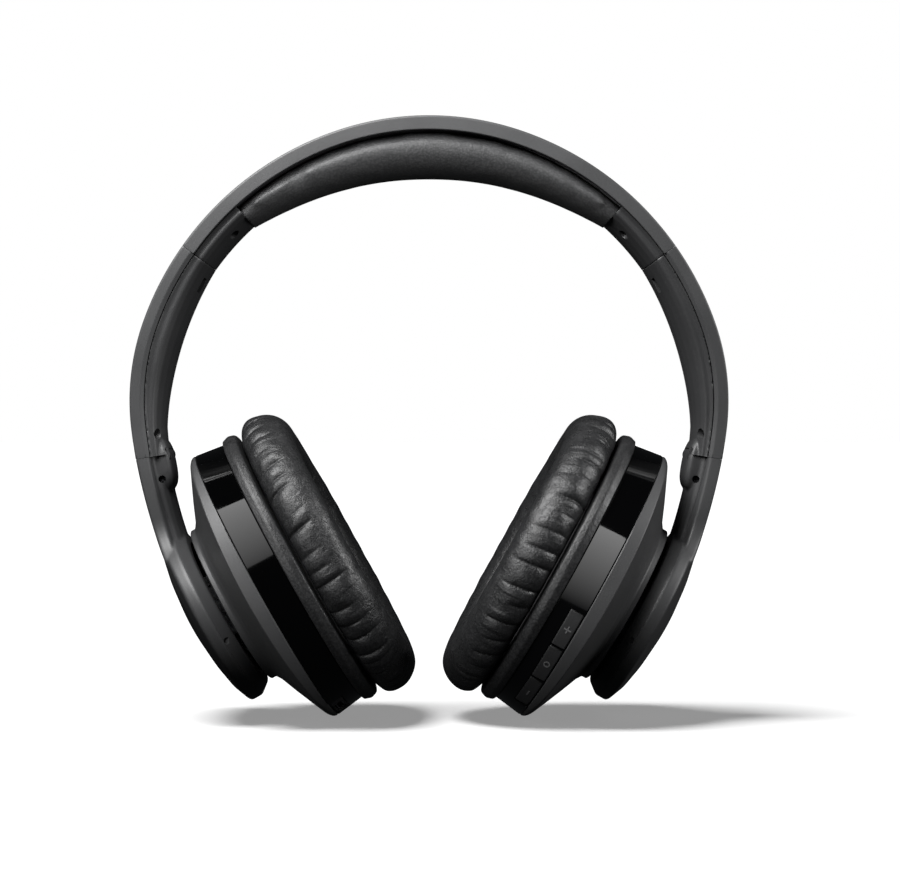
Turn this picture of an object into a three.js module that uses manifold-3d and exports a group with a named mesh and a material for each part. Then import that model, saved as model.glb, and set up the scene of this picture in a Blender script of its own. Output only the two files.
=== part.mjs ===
// Wireless over-ear headphones: a padded headband, two arms that slide out of it
// along its curve, folding yokes, and cups that tilt and swivel on their yokes.
//
// Frame, in millimetres: the origin is the middle of the head pad's underside,
// +Z is up, +X is towards the cup with the buttons and +Y is towards the back.
// Every piece of one side is modelled on the -X side; the +X side is the same
// side turned half a turn about Z.

import * as THREE from 'three';
import { mergeVertices } from 'three/addons/utils/BufferGeometryUtils.js';
import Module from 'manifold-3d';

const wasm = await Module();
wasm.setup();

// ---------------------------------------------------------------- dimensions

const GAP = 0.3;                 // between pieces that touch

// The outer line, as arcs that run on from each other, starting at the crown.
// Each arc ends at an angle measured from straight up, in degrees.
const CROWN_HEIGHT = 16.8;
const OUTLINE = [
  { radius: 84.4, until: 18.84 },
  { radius: 92.2, until: 70.4 },
  { radius: 69.7, until: 97.1 },
  { radius: 181.5, until: 114.7 },
  { radius: 92.5, until: 150 },
];
const PAD_END = 42.4;            // angles along the outer line
const STRIP_START = 25;
const SLIDER_SEAM = 54.6;
const STRIP_END = 62;
const HINGE_SEAM = 99.8;
const SLIDER_GAP_ANGLE = 0.1;    // half of each seam's gap
const HINGE_GAP_ANGLE = 0.05;

const BAND_HALF_WIDTH = 16;      // at the crown
const HINGE_HALF_WIDTH = 13;
const SHELL_WALL = 1.8;
const SHELL_RIM = 3;             // width of the shell's two rims
const SHELL_DEPTH = 4.2;
const FRAME_DEPTH = [3.4, 4.4];
const STRIP_DEPTH = [2.1, 3.1];
const STRIP_HALF_WIDTH = 9;
const CABLE_RADIUS = 0.5;
const CABLE_ACROSS = 11.2;
const PAD_STEPS = 25;            // odd, so that one flat facet lies at the crown
const PAD_END_DEPTH = 11.6;
const PAD_HALF_WIDTH = 15.4;

const COVER_RIDGE = 11;          // depth of the inner covers' ridge
const COVER_WALL = 1.9;
const CAP_SCREW_ANGLE = 46.5;
const ARM_SCREW_ANGLE = 97.2;
const YOKE_SCREW_ANGLE = 102.1;
const SCREW_ACROSS = 8.6;
const SCREW_HEAD = { radius: 1.4, height: 1.3 };
const SCREW_SHANK = { radius: 0.8, length: 3.2 };
const SCREW_RECESS = 1.2;        // depth of a screw head below the surface

const PIN_DEPTH = 7.4;           // the fold pin, below the outer line
const PIN_RADIUS = 1.3;
const BARREL_RADIUS = 2.8;
const KNUCKLE_HALF_WIDTH = 5.85;
const EAR_HALF_WIDTH = 9.6;

// The cup frame: its middle, and how far its face is turned up from sideways.
const CUP_CENTRE = new THREE.Vector3(-36.2, 0, -115.4);
const CUP_TURN = 29;
const CUP_RATIO = 0.872;         // width over height of the oval cup
const CUSHION = { outer: 45.6, inner: 28.5, height: 15 };
const FLANGE = { outer: 44.5, inner: 34, height: 5 };
const WALL = { outer: 43.2, inner: 41.2, back: -13.9 };
const DOME_RIM = 44.5;
const DOME_WALL = 2;
const COLLAR = { outer: 21.5, inner: 18.5, end: -27.2 };
const DISC = { radius: 28, face: -27, crown: -39.5, sphere: 92.5, rounding: 3.2 };
const POCKET_RADIUS = 22.3;
const TILT_HEIGHT = -31.4;
const SWIVEL_HEIGHT = -28.9;
const BLOCK_HALF = 7.9;
const PIVOT_PIN_RADIUS = 1;
const LUG = { half: 3, near: 8.2, far: 11.2 };

// Controls and port: angles round the oval wall from its bottom end.
const BUTTONS = [
  { name: 'volume_up_button', from: 63.3, to: 79.6 },
  { name: 'play_button', from: 45.2, to: 62.7 },
  { name: 'volume_down_button', from: 23.9, to: 44.6 },
];
const BUTTON_FACE = WALL.outer + 0.4;
const BUTTON_HEIGHTS = [-13.6, -9.4];
const PORT = { from: 5, to: 27 };

const OVAL_SEGMENTS = 28;
const ROUND_SEGMENTS = 16;

// ------------------------------------------------------------------- helpers

const degrees = THREE.MathUtils.degToRad;

// Turns a closed geometry into a solid for cutting and joining.
function solid(geometry) {
  const bare = geometry.clone();
  bare.deleteAttribute('normal');
  bare.deleteAttribute('uv');
  const merged = mergeVertices(bare, 1e-4);
  const vertices = merged.attributes.position.array;
  const corner = (index) => new THREE.Vector3().fromArray(vertices, 3 * index);
  const triangles = [];
  let volume = 0;
  for (let i = 0; i < merged.index.count; i += 3) {
    const [a, b, c] = [0, 1, 2].map((k) => merged.index.getX(i + k));
    if (a !== b && b !== c && c !== a) {
      triangles.push([a, b, c]);
      volume += corner(a).dot(corner(b).cross(corner(c)));
    }
  }
  if (volume < 0) triangles.forEach((triangle) => triangle.reverse());
  const mesh = new wasm.Mesh({
    numProp: 3,
    vertProperties: new Float32Array(vertices),
    triVerts: new Uint32Array(triangles.flat()),
  });
  return new wasm.Manifold(mesh);
}

// Turns a solid back into a geometry.
function surface(manifold) {
  const mesh = manifold.getMesh();
  const geometry = new THREE.BufferGeometry();
  geometry.setAttribute('position', new THREE.BufferAttribute(mesh.vertProperties, 3));
  geometry.setIndex(new THREE.BufferAttribute(mesh.triVerts, 1));
  geometry.computeVertexNormals();
  return geometry;
}

const join = (...solids) => solids.reduce((whole, piece) => whole.add(piece));
const cut = (whole, ...tools) => tools.reduce((rest, tool) => rest.subtract(tool), whole);

function shapeOf(points) {
  return new THREE.Shape(points.map(([x, y]) => new THREE.Vector2(x, y)));
}

// A solid of revolution about the local Y axis, from [radius, height] points.
function turned(profile, segments, ratio = 1, place = new THREE.Matrix4()) {
  const points = profile.map(([radius, height]) => new THREE.Vector2(radius, height));
  const first = points[0];
  const last = points[points.length - 1];
  if (first.x > 0 || last.x > 0) points.push(first.clone());
  const geometry = new THREE.LatheGeometry(points, segments);
  geometry.scale(1, 1, ratio);
  return solid(geometry.applyMatrix4(place));
}

// A straight round bar from one point to another.
function bar(from, to, radius, sides = 12) {
  const along = to.clone().sub(from);
  const geometry = new THREE.CylinderGeometry(radius, radius, along.length(), sides);
  const turn = new THREE.Quaternion().setFromUnitVectors(
    new THREE.Vector3(0, 1, 0), along.clone().normalize(),
  );
  geometry.applyQuaternion(turn);
  const middle = from.clone().add(to).multiplyScalar(0.5);
  return solid(geometry.translate(middle.x, middle.y, middle.z));
}

function box(low, high, place = new THREE.Matrix4()) {
  const size = high.map((value, i) => value - low[i]);
  const middle = high.map((value, i) => (value + low[i]) / 2);
  const geometry = new THREE.BoxGeometry(...size).translate(...middle);
  return solid(geometry.applyMatrix4(place));
}

// The arcs of the outer line with their centres, each carrying on from the last.
function outlineArcs() {
  const centre = new THREE.Vector2(0, CROWN_HEIGHT - OUTLINE[0].radius);
  return OUTLINE.map((arc, i) => {
    if (i > 0) {
      const joint = degrees(OUTLINE[i - 1].until);
      const normal = new THREE.Vector2(-Math.sin(joint), Math.cos(joint));
      centre.addScaledVector(normal, OUTLINE[i - 1].radius - arc.radius);
    }
    return { ...arc, centre: centre.clone() };
  });
}

const ARCS = outlineArcs();

// The point at an angle along the outer line and a depth inside it. Positive
// angles run down the -X side and negative ones down the +X side.
function outlinePoint(angle, depth) {
  const arc = ARCS.find((candidate) => Math.abs(angle) <= candidate.until);
  const turn = degrees(angle);
  const reach = arc.radius - depth;
  return new THREE.Vector2(
    Math.sign(angle) * arc.centre.x - reach * Math.sin(turn),
    arc.centre.y + reach * Math.cos(turn),
  );
}

// The same point in space, at a distance across the band.
function bandPoint(angle, depth, across) {
  const point = outlinePoint(angle, depth);
  return new THREE.Vector3(point.x, across, point.y);
}

// Sweeps a section along the outer line. The section's x runs across the band
// and its y inwards from the outer line; fit() may reshape it on the way.
function sweep(points, from, to, steps, fit = (across, depth) => [across, depth]) {
  const settings = { depth: 1, steps, bevelEnabled: false };
  const geometry = new THREE.ExtrudeGeometry(shapeOf(points), settings);
  const position = geometry.attributes.position;
  for (let i = 0; i < position.count; i += 1) {
    const angle = from + (to - from) * position.getZ(i);
    const [across, depth] = fit(position.getX(i), position.getY(i), angle);
    const point = bandPoint(angle, depth, across);
    position.setXYZ(i, point.x, point.y, point.z);
  }
  return solid(geometry);
}

const mirrorAcross = (half) => [
  ...half,
  ...half.filter(([across]) => across > 0).map(([across, depth]) => [-across, depth]).reverse(),
];

// How far along from the pad's end to the fold hinge an angle is, from 0 to 1.
function alongArm(angle, start) {
  return THREE.MathUtils.clamp((Math.abs(angle) - start) / (HINGE_SEAM - start), 0, 1);
}

function halfWidth(angle) {
  return BAND_HALF_WIDTH - (BAND_HALF_WIDTH - HINGE_HALF_WIDTH) * alongArm(angle, PAD_END);
}

// Depth of the inner covers' ridge: fullest half-way down the arm.
function ridgeDepth(angle) {
  const u = alongArm(angle, SLIDER_SEAM);
  return COVER_RIDGE - 0.4 - 1.3 * u + 1.9 * Math.sin(Math.PI * u);
}

// -------------------------------------------------- sections of band and arms

const scaleAcross = (across, angle) => (across * halfWidth(angle)) / BAND_HALF_WIDTH;

const fitShell = (across, depth, angle) => [scaleAcross(across, angle), depth];

function fitCover(across, depth, angle) {
  const top = SHELL_DEPTH + GAP;
  const scale = (ridgeDepth(angle) - top) / (COVER_RIDGE - top);
  return [scaleAcross(across, angle), top + (depth - top) * scale];
}

// An open channel: a plate with a rim along each edge.
const SHELL_SECTION = mirrorAcross([
  [BAND_HALF_WIDTH, 0],
  [BAND_HALF_WIDTH, SHELL_DEPTH],
  [BAND_HALF_WIDTH - SHELL_RIM, SHELL_DEPTH],
  [BAND_HALF_WIDTH - SHELL_RIM, SHELL_WALL],
]);

// The inner cover from its edge: a shoulder, a groove and a crowned middle.
const COVER_OUTSIDE = [
  [BAND_HALF_WIDTH, SHELL_DEPTH + GAP],
  [BAND_HALF_WIDTH - 1.6, 5.8],
  [BAND_HALF_WIDTH - 3, 7.4],
  [9, 9.2],
  [4.5, 10.5],
  [0, COVER_RIDGE],
];

const COVER_INSIDE = [
  [0, COVER_RIDGE - COVER_WALL],
  [8.5, 9.2 - COVER_WALL],
  [BAND_HALF_WIDTH - 3.2, SHELL_DEPTH + GAP],
];

const SOLID_COVER_SECTION = mirrorAcross(COVER_OUTSIDE);
const COVER_SECTION = [
  ...SOLID_COVER_SECTION,
  ...COVER_INSIDE.map(([across, depth]) => [-across, depth]).reverse(),
  ...COVER_INSIDE.slice(1),
];

const strap = (halfWidthOfStrap, [top, bottom]) => mirrorAcross([
  [halfWidthOfStrap, top],
  [halfWidthOfStrap, bottom],
]);

// ----------------------------------------------------------------- fasteners

// A screw at an angle on an inner cover, sunk below its crowned face. Gives the
// screw and the stepped hole that it sits in.
function coverScrew(angle, side) {
  const across = side * SCREW_ACROSS;
  const crown = fitCover(SCREW_ACROSS, 9.3, angle)[1];
  const at = (depth) => bandPoint(angle, depth, across);
  const headTop = crown - SCREW_RECESS;
  const headFoot = headTop - SCREW_HEAD.height;
  const shankEnd = headFoot - SCREW_SHANK.length;
  const head = bar(at(headTop), at(headFoot), SCREW_HEAD.radius, 8);
  const shank = bar(at(headFoot + 0.1), at(shankEnd), SCREW_SHANK.radius, 6);
  const headHole = bar(at(crown + 3), at(headFoot - GAP), SCREW_HEAD.radius + GAP, 8);
  const shankHole = bar(at(headFoot), at(shankEnd - GAP), SCREW_SHANK.radius + GAP, 6);
  const boss = bar(at(crown - 0.6), at(SHELL_DEPTH + GAP), SCREW_HEAD.radius + 1.4, 8);
  return { screw: join(head, shank), hole: join(headHole, shankHole), boss };
}

// ------------------------------------------------------------------ headband

function headbandOuterShell() {
  const end = SLIDER_SEAM - SLIDER_GAP_ANGLE;
  return sweep(SHELL_SECTION, -end, end, 26, fitShell);
}

function headbandInnerFrame() {
  const across = BAND_HALF_WIDTH - SHELL_RIM - GAP;
  return sweep(strap(across, FRAME_DEPTH), 0.3 - PAD_END, PAD_END - 0.3, 16);
}

// Depth of the pad's underside: it stays level over the crown facet and thins
// towards both ends.
function padUnderside(angle) {
  const facet = PAD_END / PAD_STEPS;
  const crown = OUTLINE[0].radius - (OUTLINE[0].radius - CROWN_HEIGHT) / Math.cos(degrees(facet));
  const spread = Math.max(0, Math.abs(angle) - facet) / (PAD_END - facet);
  const bulge = Math.cos((Math.PI / 2) * Math.min(spread, 1)) ** 1.15;
  return PAD_END_DEPTH + (crown - PAD_END_DEPTH) * bulge;
}

function headbandPad() {
  const top = FRAME_DEPTH[1] + GAP;
  const section = mirrorAcross([
    [PAD_HALF_WIDTH - 1.4, 0],
    [PAD_HALF_WIDTH, 0.2],
    [PAD_HALF_WIDTH, 0.5],
    [PAD_HALF_WIDTH - 1.5, 0.8],
    [PAD_HALF_WIDTH - 5, 0.96],
    [PAD_HALF_WIDTH - 10, 1],
  ]);
  const fit = (across, share, angle) => [across, top + (padUnderside(angle) - top) * share];
  return sweep(section, -PAD_END, PAD_END, PAD_STEPS, fit);
}

// One wire in the channel above the inner frame joins the two cups' electrics.
function crossoverCable() {
  const middle = (SHELL_WALL + FRAME_DEPTH[0]) / 2;
  const section = [];
  for (let i = 0; i < 6; i += 1) {
    const turn = (i * Math.PI) / 3;
    const depth = middle + CABLE_RADIUS * Math.sin(turn);
    section.push([CABLE_ACROSS + CABLE_RADIUS * Math.cos(turn), depth]);
  }
  return sweep(section, -41, 41, 16);
}

function endCap() {
  const from = PAD_END + SLIDER_GAP_ANGLE * 2;
  const to = SLIDER_SEAM - SLIDER_GAP_ANGLE;
  const wallTo = from + 1.2;
  const screws = [-1, 1].map((side) => coverScrew(CAP_SCREW_ANGLE, side));
  const hollow = sweep(COVER_SECTION, from, to, 3, fitCover);
  const endWall = sweep(SOLID_COVER_SECTION, from, wallTo, 1, fitCover);
  const body = join(hollow, endWall, ...screws.map(({ boss }) => boss));
  return {
    body: cut(body, ...screws.map(({ hole }) => hole)),
    screws: screws.map(({ screw }) => screw),
  };
}

// ----------------------------------------------------------------------- arm

const armTop = SLIDER_SEAM + SLIDER_GAP_ANGLE;
const armEnd = HINGE_SEAM - HINGE_GAP_ANGLE;
const pinPoint = (across) => bandPoint(HINGE_SEAM, PIN_DEPTH, across);
const barrel = (radius, from, to, sides = 14) => bar(pinPoint(from), pinPoint(to), radius, sides);

function sliderStrip() {
  return sweep(strap(STRIP_HALF_WIDTH, STRIP_DEPTH), STRIP_START, STRIP_END, 12);
}

function armShell() {
  return sweep(SHELL_SECTION, armTop, armEnd, 10, fitShell);
}

// A wedge that fairs a hinge barrel into the cover next to it: as deep as the
// barrel at the seam, and sunk into the cover where it ends.
function fairing(seam, end, from, to) {
  const top = SHELL_DEPTH + 2;
  const tip = (angle) => (
    Math.abs(angle - seam) < 0.01 ? PIN_DEPTH + BARREL_RADIUS - 0.1 : ridgeDepth(angle) - 1
  );
  return sweep(strap(1, [0, 1]), Math.min(seam, end), Math.max(seam, end), 1, (side, share, angle) => [
    (from + to) / 2 + (side * (to - from)) / 2,
    top + (tip(angle) - top) * share,
  ]);
}

function armCover() {
  const solidFrom = armEnd - 5.5;
  const screws = [-1, 1].map((side) => coverScrew(ARM_SCREW_ANGLE, side));
  const hollow = sweep(COVER_SECTION, armTop, armEnd, 10, fitCover);
  const hingeEnd = sweep(SOLID_COVER_SECTION, solidFrom, armEnd, 1, fitCover);
  const ears = [-1, 1].flatMap((side) => {
    const [from, to] = [KNUCKLE_HALF_WIDTH + GAP, EAR_HALF_WIDTH].map((value) => side * value);
    return [
      barrel(BARREL_RADIUS, from, to),
      fairing(armEnd, armEnd - 2, Math.min(from, to), Math.max(from, to)),
    ];
  });
  const slot = KNUCKLE_HALF_WIDTH + GAP;
  const body = cut(
    join(hollow, hingeEnd, ...ears),
    barrel(BARREL_RADIUS + GAP, -slot, slot),
    barrel(PIN_RADIUS + GAP, -EAR_HALF_WIDTH - 0.5, EAR_HALF_WIDTH + 0.5, 8),
    ...screws.map(({ hole }) => hole),
  );
  return { body, screws: screws.map(({ screw }) => screw) };
}

const foldPin = () => barrel(PIN_RADIUS, 0.4 - EAR_HALF_WIDTH, EAR_HALF_WIDTH - 0.4, 8);

// ---------------------------------------------------------------------- yoke

// The cup frame: local X runs up the cup's long axis, Y out of its ear side and
// Z towards the back.
const cupTurn = degrees(CUP_TURN);
const cupFrame = new THREE.Matrix4().makeBasis(
  new THREE.Vector3(-Math.sin(cupTurn), 0, Math.cos(cupTurn)),
  new THREE.Vector3(Math.cos(cupTurn), 0, Math.sin(cupTurn)),
  new THREE.Vector3(0, 1, 0),
).setPosition(CUP_CENTRE);

// Height of the disc's domed outside at a radius, sunk by a depth.
function domeHeight(radius, depth = 0) {
  const fall = DISC.sphere - Math.sqrt(DISC.sphere ** 2 - radius ** 2);
  return DISC.crown + fall + depth;
}

const neckStart = HINGE_SEAM + HINGE_GAP_ANGLE;
const neckEnd = 112.5;

// The neck keeps the hinge's width, then flares on a round fillet into the disc.
function neckHalfWidth(angle) {
  const fillet = 16;
  const arc = ARCS.find((candidate) => Math.abs(angle) <= candidate.until);
  const travel = degrees(angle - HINGE_SEAM) * arc.radius;
  const toDisc = 52;
  const centreAcross = HINGE_HALF_WIDTH + fillet;
  const start = toDisc - Math.sqrt((DISC.radius + fillet) ** 2 - centreAcross ** 2);
  const past = Math.max(0, travel - start);
  return centreAcross - Math.sqrt(fillet ** 2 - Math.min(past, fillet * 0.75) ** 2);
}

// The neck is level across at the hinge and follows the disc's dome at its end.
function fitNeckShell(across, depth, angle) {
  const wide = (across * neckHalfWidth(angle)) / BAND_HALF_WIDTH;
  const share = (angle - neckStart) / (neckEnd - neckStart);
  return [wide, depth + (share * wide ** 2) / (2 * DISC.sphere)];
}

function fitNeckCover(across, depth, angle) {
  return fitNeckShell(across, fitCover(across, depth, angle)[1], angle);
}

// The disc's outer part: a shallow dish with a rim, domed outside.
function discDish(grow) {
  const rim = DISC.radius;
  const seam = domeHeight(rim, SHELL_DEPTH + grow);
  return turned([
    [0, domeHeight(0, SHELL_WALL + 0.4 + grow)],
    [rim - SHELL_RIM - grow, domeHeight(rim - SHELL_RIM, SHELL_WALL + 0.4 + grow)],
    [rim - SHELL_RIM - grow, seam],
    [rim + grow, seam],
    [rim + grow, domeHeight(rim, 1.6)],
    [rim - 1.2 + grow, domeHeight(rim, 0.3)],
    [rim - DISC.rounding, domeHeight(rim - DISC.rounding)],
    [15, domeHeight(15)],
    [0, domeHeight(0)],
  ], OVAL_SEGMENTS, 1, cupFrame);
}

// The disc's inner part: a ring round the pocket that holds the pivot.
function discRing(grow) {
  const rim = DISC.radius;
  return turned([
    [POCKET_RADIUS, domeHeight(rim, SHELL_DEPTH + GAP - grow)],
    [POCKET_RADIUS, DISC.face - 0.4],
    [POCKET_RADIUS + 0.6, DISC.face],
    [rim - 3.2, DISC.face],
    [rim + grow, DISC.face - 3.2],
    [rim + grow, domeHeight(rim, SHELL_DEPTH + GAP - grow)],
  ], OVAL_SEGMENTS, 1, cupFrame);
}

// Space that the neck must leave inside the disc: the pocket, open to the cup.
const pocket = () => turned([
  [0, domeHeight(0, SHELL_WALL + 1)],
  [POCKET_RADIUS, domeHeight(POCKET_RADIUS, SHELL_WALL + 1)],
  [POCKET_RADIUS, DISC.face + 12],
  [0, DISC.face + 12],
], OVAL_SEGMENTS, 1, cupFrame);

// Space on the cup's side of the disc face.
const beyondFace = () => turned([
  [0, DISC.face],
  [DISC.radius + 8, DISC.face],
  [DISC.radius + 8, 0],
  [0, 0],
], 12, 1, cupFrame);

function yokeShell() {
  const neck = sweep(SHELL_SECTION, neckStart, neckEnd, 6, fitNeckShell);
  const lugs = [-1, 1].map((side) => {
    const across = [LUG.near, LUG.far].map((value) => side * value).sort((a, b) => a - b);
    const low = [-LUG.half, domeHeight(0, 1.2), across[0]];
    const high = [LUG.half, TILT_HEIGHT + 2, across[1]];
    return box(low, high, cupFrame);
  });
  const reach = LUG.far + 1;
  const ends = [-reach, reach].map((z) => new THREE.Vector3(0, TILT_HEIGHT, z).applyMatrix4(cupFrame));
  return cut(
    join(cut(neck, discRing(GAP), pocket(), beyondFace()), discDish(0), ...lugs),
    bar(...ends, PIVOT_PIN_RADIUS + GAP),
  );
}

function yokeCover() {
  const screws = [-1, 1].map((side) => coverScrew(YOKE_SCREW_ANGLE, side));
  const neck = sweep(SOLID_COVER_SECTION, neckStart, neckEnd, 6, fitNeckCover);
  const cleared = cut(neck, discDish(GAP), pocket(), beyondFace());
  const knuckle = join(
    barrel(BARREL_RADIUS, -KNUCKLE_HALF_WIDTH, KNUCKLE_HALF_WIDTH),
    fairing(neckStart, neckStart + 3, -KNUCKLE_HALF_WIDTH, KNUCKLE_HALF_WIDTH),
  );
  const earRoom = [-1, 1].map((side) => barrel(
    BARREL_RADIUS + GAP, side * KNUCKLE_HALF_WIDTH, side * (EAR_HALF_WIDTH + GAP),
  ));
  const body = cut(
    join(cut(cleared, ...earRoom), discRing(0), knuckle),
    barrel(PIN_RADIUS + GAP, -EAR_HALF_WIDTH, EAR_HALF_WIDTH, 8),
    ...screws.map(({ hole }) => hole),
  );
  return { body, screws: screws.map(({ screw }) => screw) };
}

// ------------------------------------------------- pivot, in the cup's frame

// A block on two crossed pins: it tilts on the yoke and carries the cup.
function pivotBlock() {
  const half = BLOCK_HALF;
  const [low, high] = [TILT_HEIGHT - 1.8, SWIVEL_HEIGHT + 1.7];
  return cut(
    box([-half, low, -half], [half, high, half]),
    bar(new THREE.Vector3(0, TILT_HEIGHT, -half - 1), new THREE.Vector3(0, TILT_HEIGHT, half + 1),
      PIVOT_PIN_RADIUS + GAP),
    bar(new THREE.Vector3(-half - 1, SWIVEL_HEIGHT, 0), new THREE.Vector3(half + 1, SWIVEL_HEIGHT, 0),
      PIVOT_PIN_RADIUS + 0.1),
  );
}

const PIN_HALF = LUG.far - 0.2;
const tiltPin = () => bar(
  new THREE.Vector3(0, TILT_HEIGHT, -PIN_HALF), new THREE.Vector3(0, TILT_HEIGHT, PIN_HALF),
  PIVOT_PIN_RADIUS,
);
const swivelPin = () => bar(
  new THREE.Vector3(-PIN_HALF, SWIVEL_HEIGHT, 0), new THREE.Vector3(PIN_HALF, SWIVEL_HEIGHT, 0),
  PIVOT_PIN_RADIUS - 0.2,
);

// --------------------------------------------------- cup, in the cup's frame

function backShell() {
  const outside = [
    [WALL.outer - 0.6, WALL.back - GAP],
    [DOME_RIM - 0.4, WALL.back - GAP],
    [DOME_RIM, -15.1],
    [DOME_RIM - 1.1, -16.2],
    [38.2, -18.5],
    [32.9, -20.9],
    [23.1, -25.1],
    [COLLAR.outer, -25.5],
    [COLLAR.outer, COLLAR.end],
    [COLLAR.inner, COLLAR.end],
    [COLLAR.inner, -25.5],
    [0, -25.5],
  ];
  const inside = [
    [0, -25.5 + DOME_WALL],
    [22.5, -25.2 + DOME_WALL],
    [38.2 - 0.8, -18.5 + DOME_WALL],
    [WALL.outer - 2.4, WALL.back - GAP - 0.6],
  ];
  const ovalFrom = 23.1;
  const oval = turned([...outside, ...inside], OVAL_SEGMENTS);
  const geometry = surface(oval);
  const position = geometry.attributes.position;
  for (let i = 0; i < position.count; i += 1) {
    const radius = Math.hypot(position.getX(i), position.getZ(i));
    const share = THREE.MathUtils.clamp((radius - ovalFrom + 1) / (32.9 - ovalFrom), 0, 1);
    position.setZ(i, position.getZ(i) * (1 - (1 - CUP_RATIO) * share));
  }
  const lugs = [-1, 1].map((side) => {
    const along = [LUG.near, LUG.far].map((value) => side * value).sort((a, b) => a - b);
    return box([along[0], SWIVEL_HEIGHT - 2, -LUG.half], [along[1], -25.5 + 0.8, LUG.half]);
  });
  const bore = bar(
    new THREE.Vector3(-LUG.far - 1, SWIVEL_HEIGHT, 0), new THREE.Vector3(LUG.far + 1, SWIVEL_HEIGHT, 0),
    PIVOT_PIN_RADIUS + 0.1,
  );
  return cut(join(solid(geometry), ...lugs), bore);
}

// A ring sector of the oval wall: angles run from the wall's bottom end (-X)
// towards the front, which is -Z on the -X cup and +Z on the +X cup.
function wallSector({ from, to }, [low, high], [inner, outer], front, grow = 0) {
  const ring = turned([
    [inner, low - grow], [outer, low - grow], [outer, high + grow], [inner, high + grow],
  ], OVAL_SEGMENTS, CUP_RATIO);
  const spread = THREE.MathUtils.radToDeg(grow / inner);
  const corner = (angle, reach) => {
    const turn = degrees(angle);
    return [-reach * Math.cos(turn), front * reach * CUP_RATIO * Math.sin(turn)];
  };
  const wedge = new THREE.ExtrudeGeometry(
    shapeOf([corner(from - spread, 20), corner(from - spread, 60), corner((from + to) / 2, 62),
      corner(to + spread, 60), corner(to + spread, 20)]),
    { depth: 40, bevelEnabled: false },
  );
  wedge.rotateX(Math.PI / 2);
  return ring.intersect(solid(wedge));
}

function buttonSolid(button) {
  return wallSector(button, BUTTON_HEIGHTS, [WALL.inner - 0.2, BUTTON_FACE], 1);
}

function portPanel() {
  const panel = wallSector(PORT, BUTTON_HEIGHTS, [WALL.inner + 0.2, BUTTON_FACE], -1);
  return cut(panel, portOpening(0.3, 8));
}

// The charging port faces out of the wall at the middle of its panel.
function portFrame() {
  const turn = degrees((PORT.from + PORT.to) / 2);
  const outward = new THREE.Vector3(-Math.cos(turn), 0, -Math.sin(turn) / CUP_RATIO).normalize();
  const place = new THREE.Vector3(
    -WALL.outer * Math.cos(turn), (BUTTON_HEIGHTS[0] + BUTTON_HEIGHTS[1]) / 2,
    -WALL.outer * CUP_RATIO * Math.sin(turn),
  );
  const along = new THREE.Vector3().crossVectors(outward, new THREE.Vector3(0, 1, 0));
  return new THREE.Matrix4().makeBasis(outward, new THREE.Vector3(0, 1, 0), along).setPosition(place);
}

const portOpening = (grow, reach) => box(
  [-reach, -1.2 - grow, -4.1 - grow], [3, 1.2 + grow, 4.1 + grow], portFrame(),
);

function chargingSocket() {
  const outer = box([-7, -1.2, -4.1], [-0.6, 1.2, 4.1], portFrame());
  const mouth = box([-5, -0.8, -3.7], [2, 0.8, 3.7], portFrame());
  return cut(outer, mouth);
}

function sideRing(cutouts) {
  const ring = turned([
    [WALL.inner, WALL.back],
    [WALL.outer, WALL.back],
    [WALL.outer, -FLANGE.height - GAP],
    [WALL.inner, -FLANGE.height - GAP],
  ], OVAL_SEGMENTS, CUP_RATIO);
  return cut(ring, ...cutouts);
}

function baffle() {
  const rim = FLANGE.outer - 1.6;
  return turned([
    [20.3, -5], [rim, -5], [rim, -3.2], [24, -3.2], [20.3, -3.2],
  ], OVAL_SEGMENTS, CUP_RATIO);
}

function driverFrame() {
  return turned([
    [0, -7.6], [12, -7.6], [17.2, -5.6], [17.2, -3.4], [16, -3.2], [15, -4.6], [6, -5.6], [0, -4.4],
  ], ROUND_SEGMENTS);
}

const driverMagnet = () => turned([[0, -13], [11, -13], [11.5, -12.5], [11.5, -7.9], [0, -7.9]],
  ROUND_SEGMENTS);

// The leather lip of the ear pad, wrapped over the rim of the baffle.
function padRing() {
  return turned([
    [FLANGE.outer - 1.3, -FLANGE.height],
    [FLANGE.outer - 0.4, -FLANGE.height],
    [FLANGE.outer, -FLANGE.height / 2],
    [FLANGE.outer - 0.9, -0.5],
    [FLANGE.outer - 3, -GAP],
    [FLANGE.inner, -GAP],
    [FLANGE.inner, -2.9],
    [FLANGE.outer - 1.3, -2.9],
  ], OVAL_SEGMENTS, CUP_RATIO);
}

const acousticCloth = () => turned([
  [0, -2.9], [FLANGE.inner - GAP, -2.9], [FLANGE.inner - GAP, -2.4], [0, -2.4],
], OVAL_SEGMENTS, CUP_RATIO);

function earCushion() {
  const { outer, inner, height } = CUSHION;
  return turned([
    [inner + 1.5, 0],
    [outer - 4, 0],
    [outer - 0.8, 3.2],
    [outer, 7],
    [outer - 1.2, 11.2],
    [outer - 5, height],
    [inner + 5, height],
    [inner, height - 3.5],
    [inner, 4],
  ], OVAL_SEGMENTS, CUP_RATIO);
}

const battery = () => box([-17, -21.2, -10], [17, -16.4, 10]);
const mainBoard = () => box([-21, -17.6, -13], [21, -16.4, 13]);

// ------------------------------------------------------------------ assembly

const material = (color, roughness, metalness = 0) => (
  new THREE.MeshStandardMaterial({ color, roughness, metalness })
);
const MATERIALS = {
  casing: material(0x2b2c2d, 0.55),
  gloss: material(0x050505, 0.08),
  leather: material(0x1b1b1c, 0.6),
  foam: material(0x151516, 0.9),
  steel: material(0x9a9da0, 0.35, 1),
  darkSteel: material(0x1c1d1f, 0.45, 1),
  board: material(0x1d3b26, 0.6),
  wire: material(0x18181a, 0.7),
  cell: material(0x46494d, 0.5),
};

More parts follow.
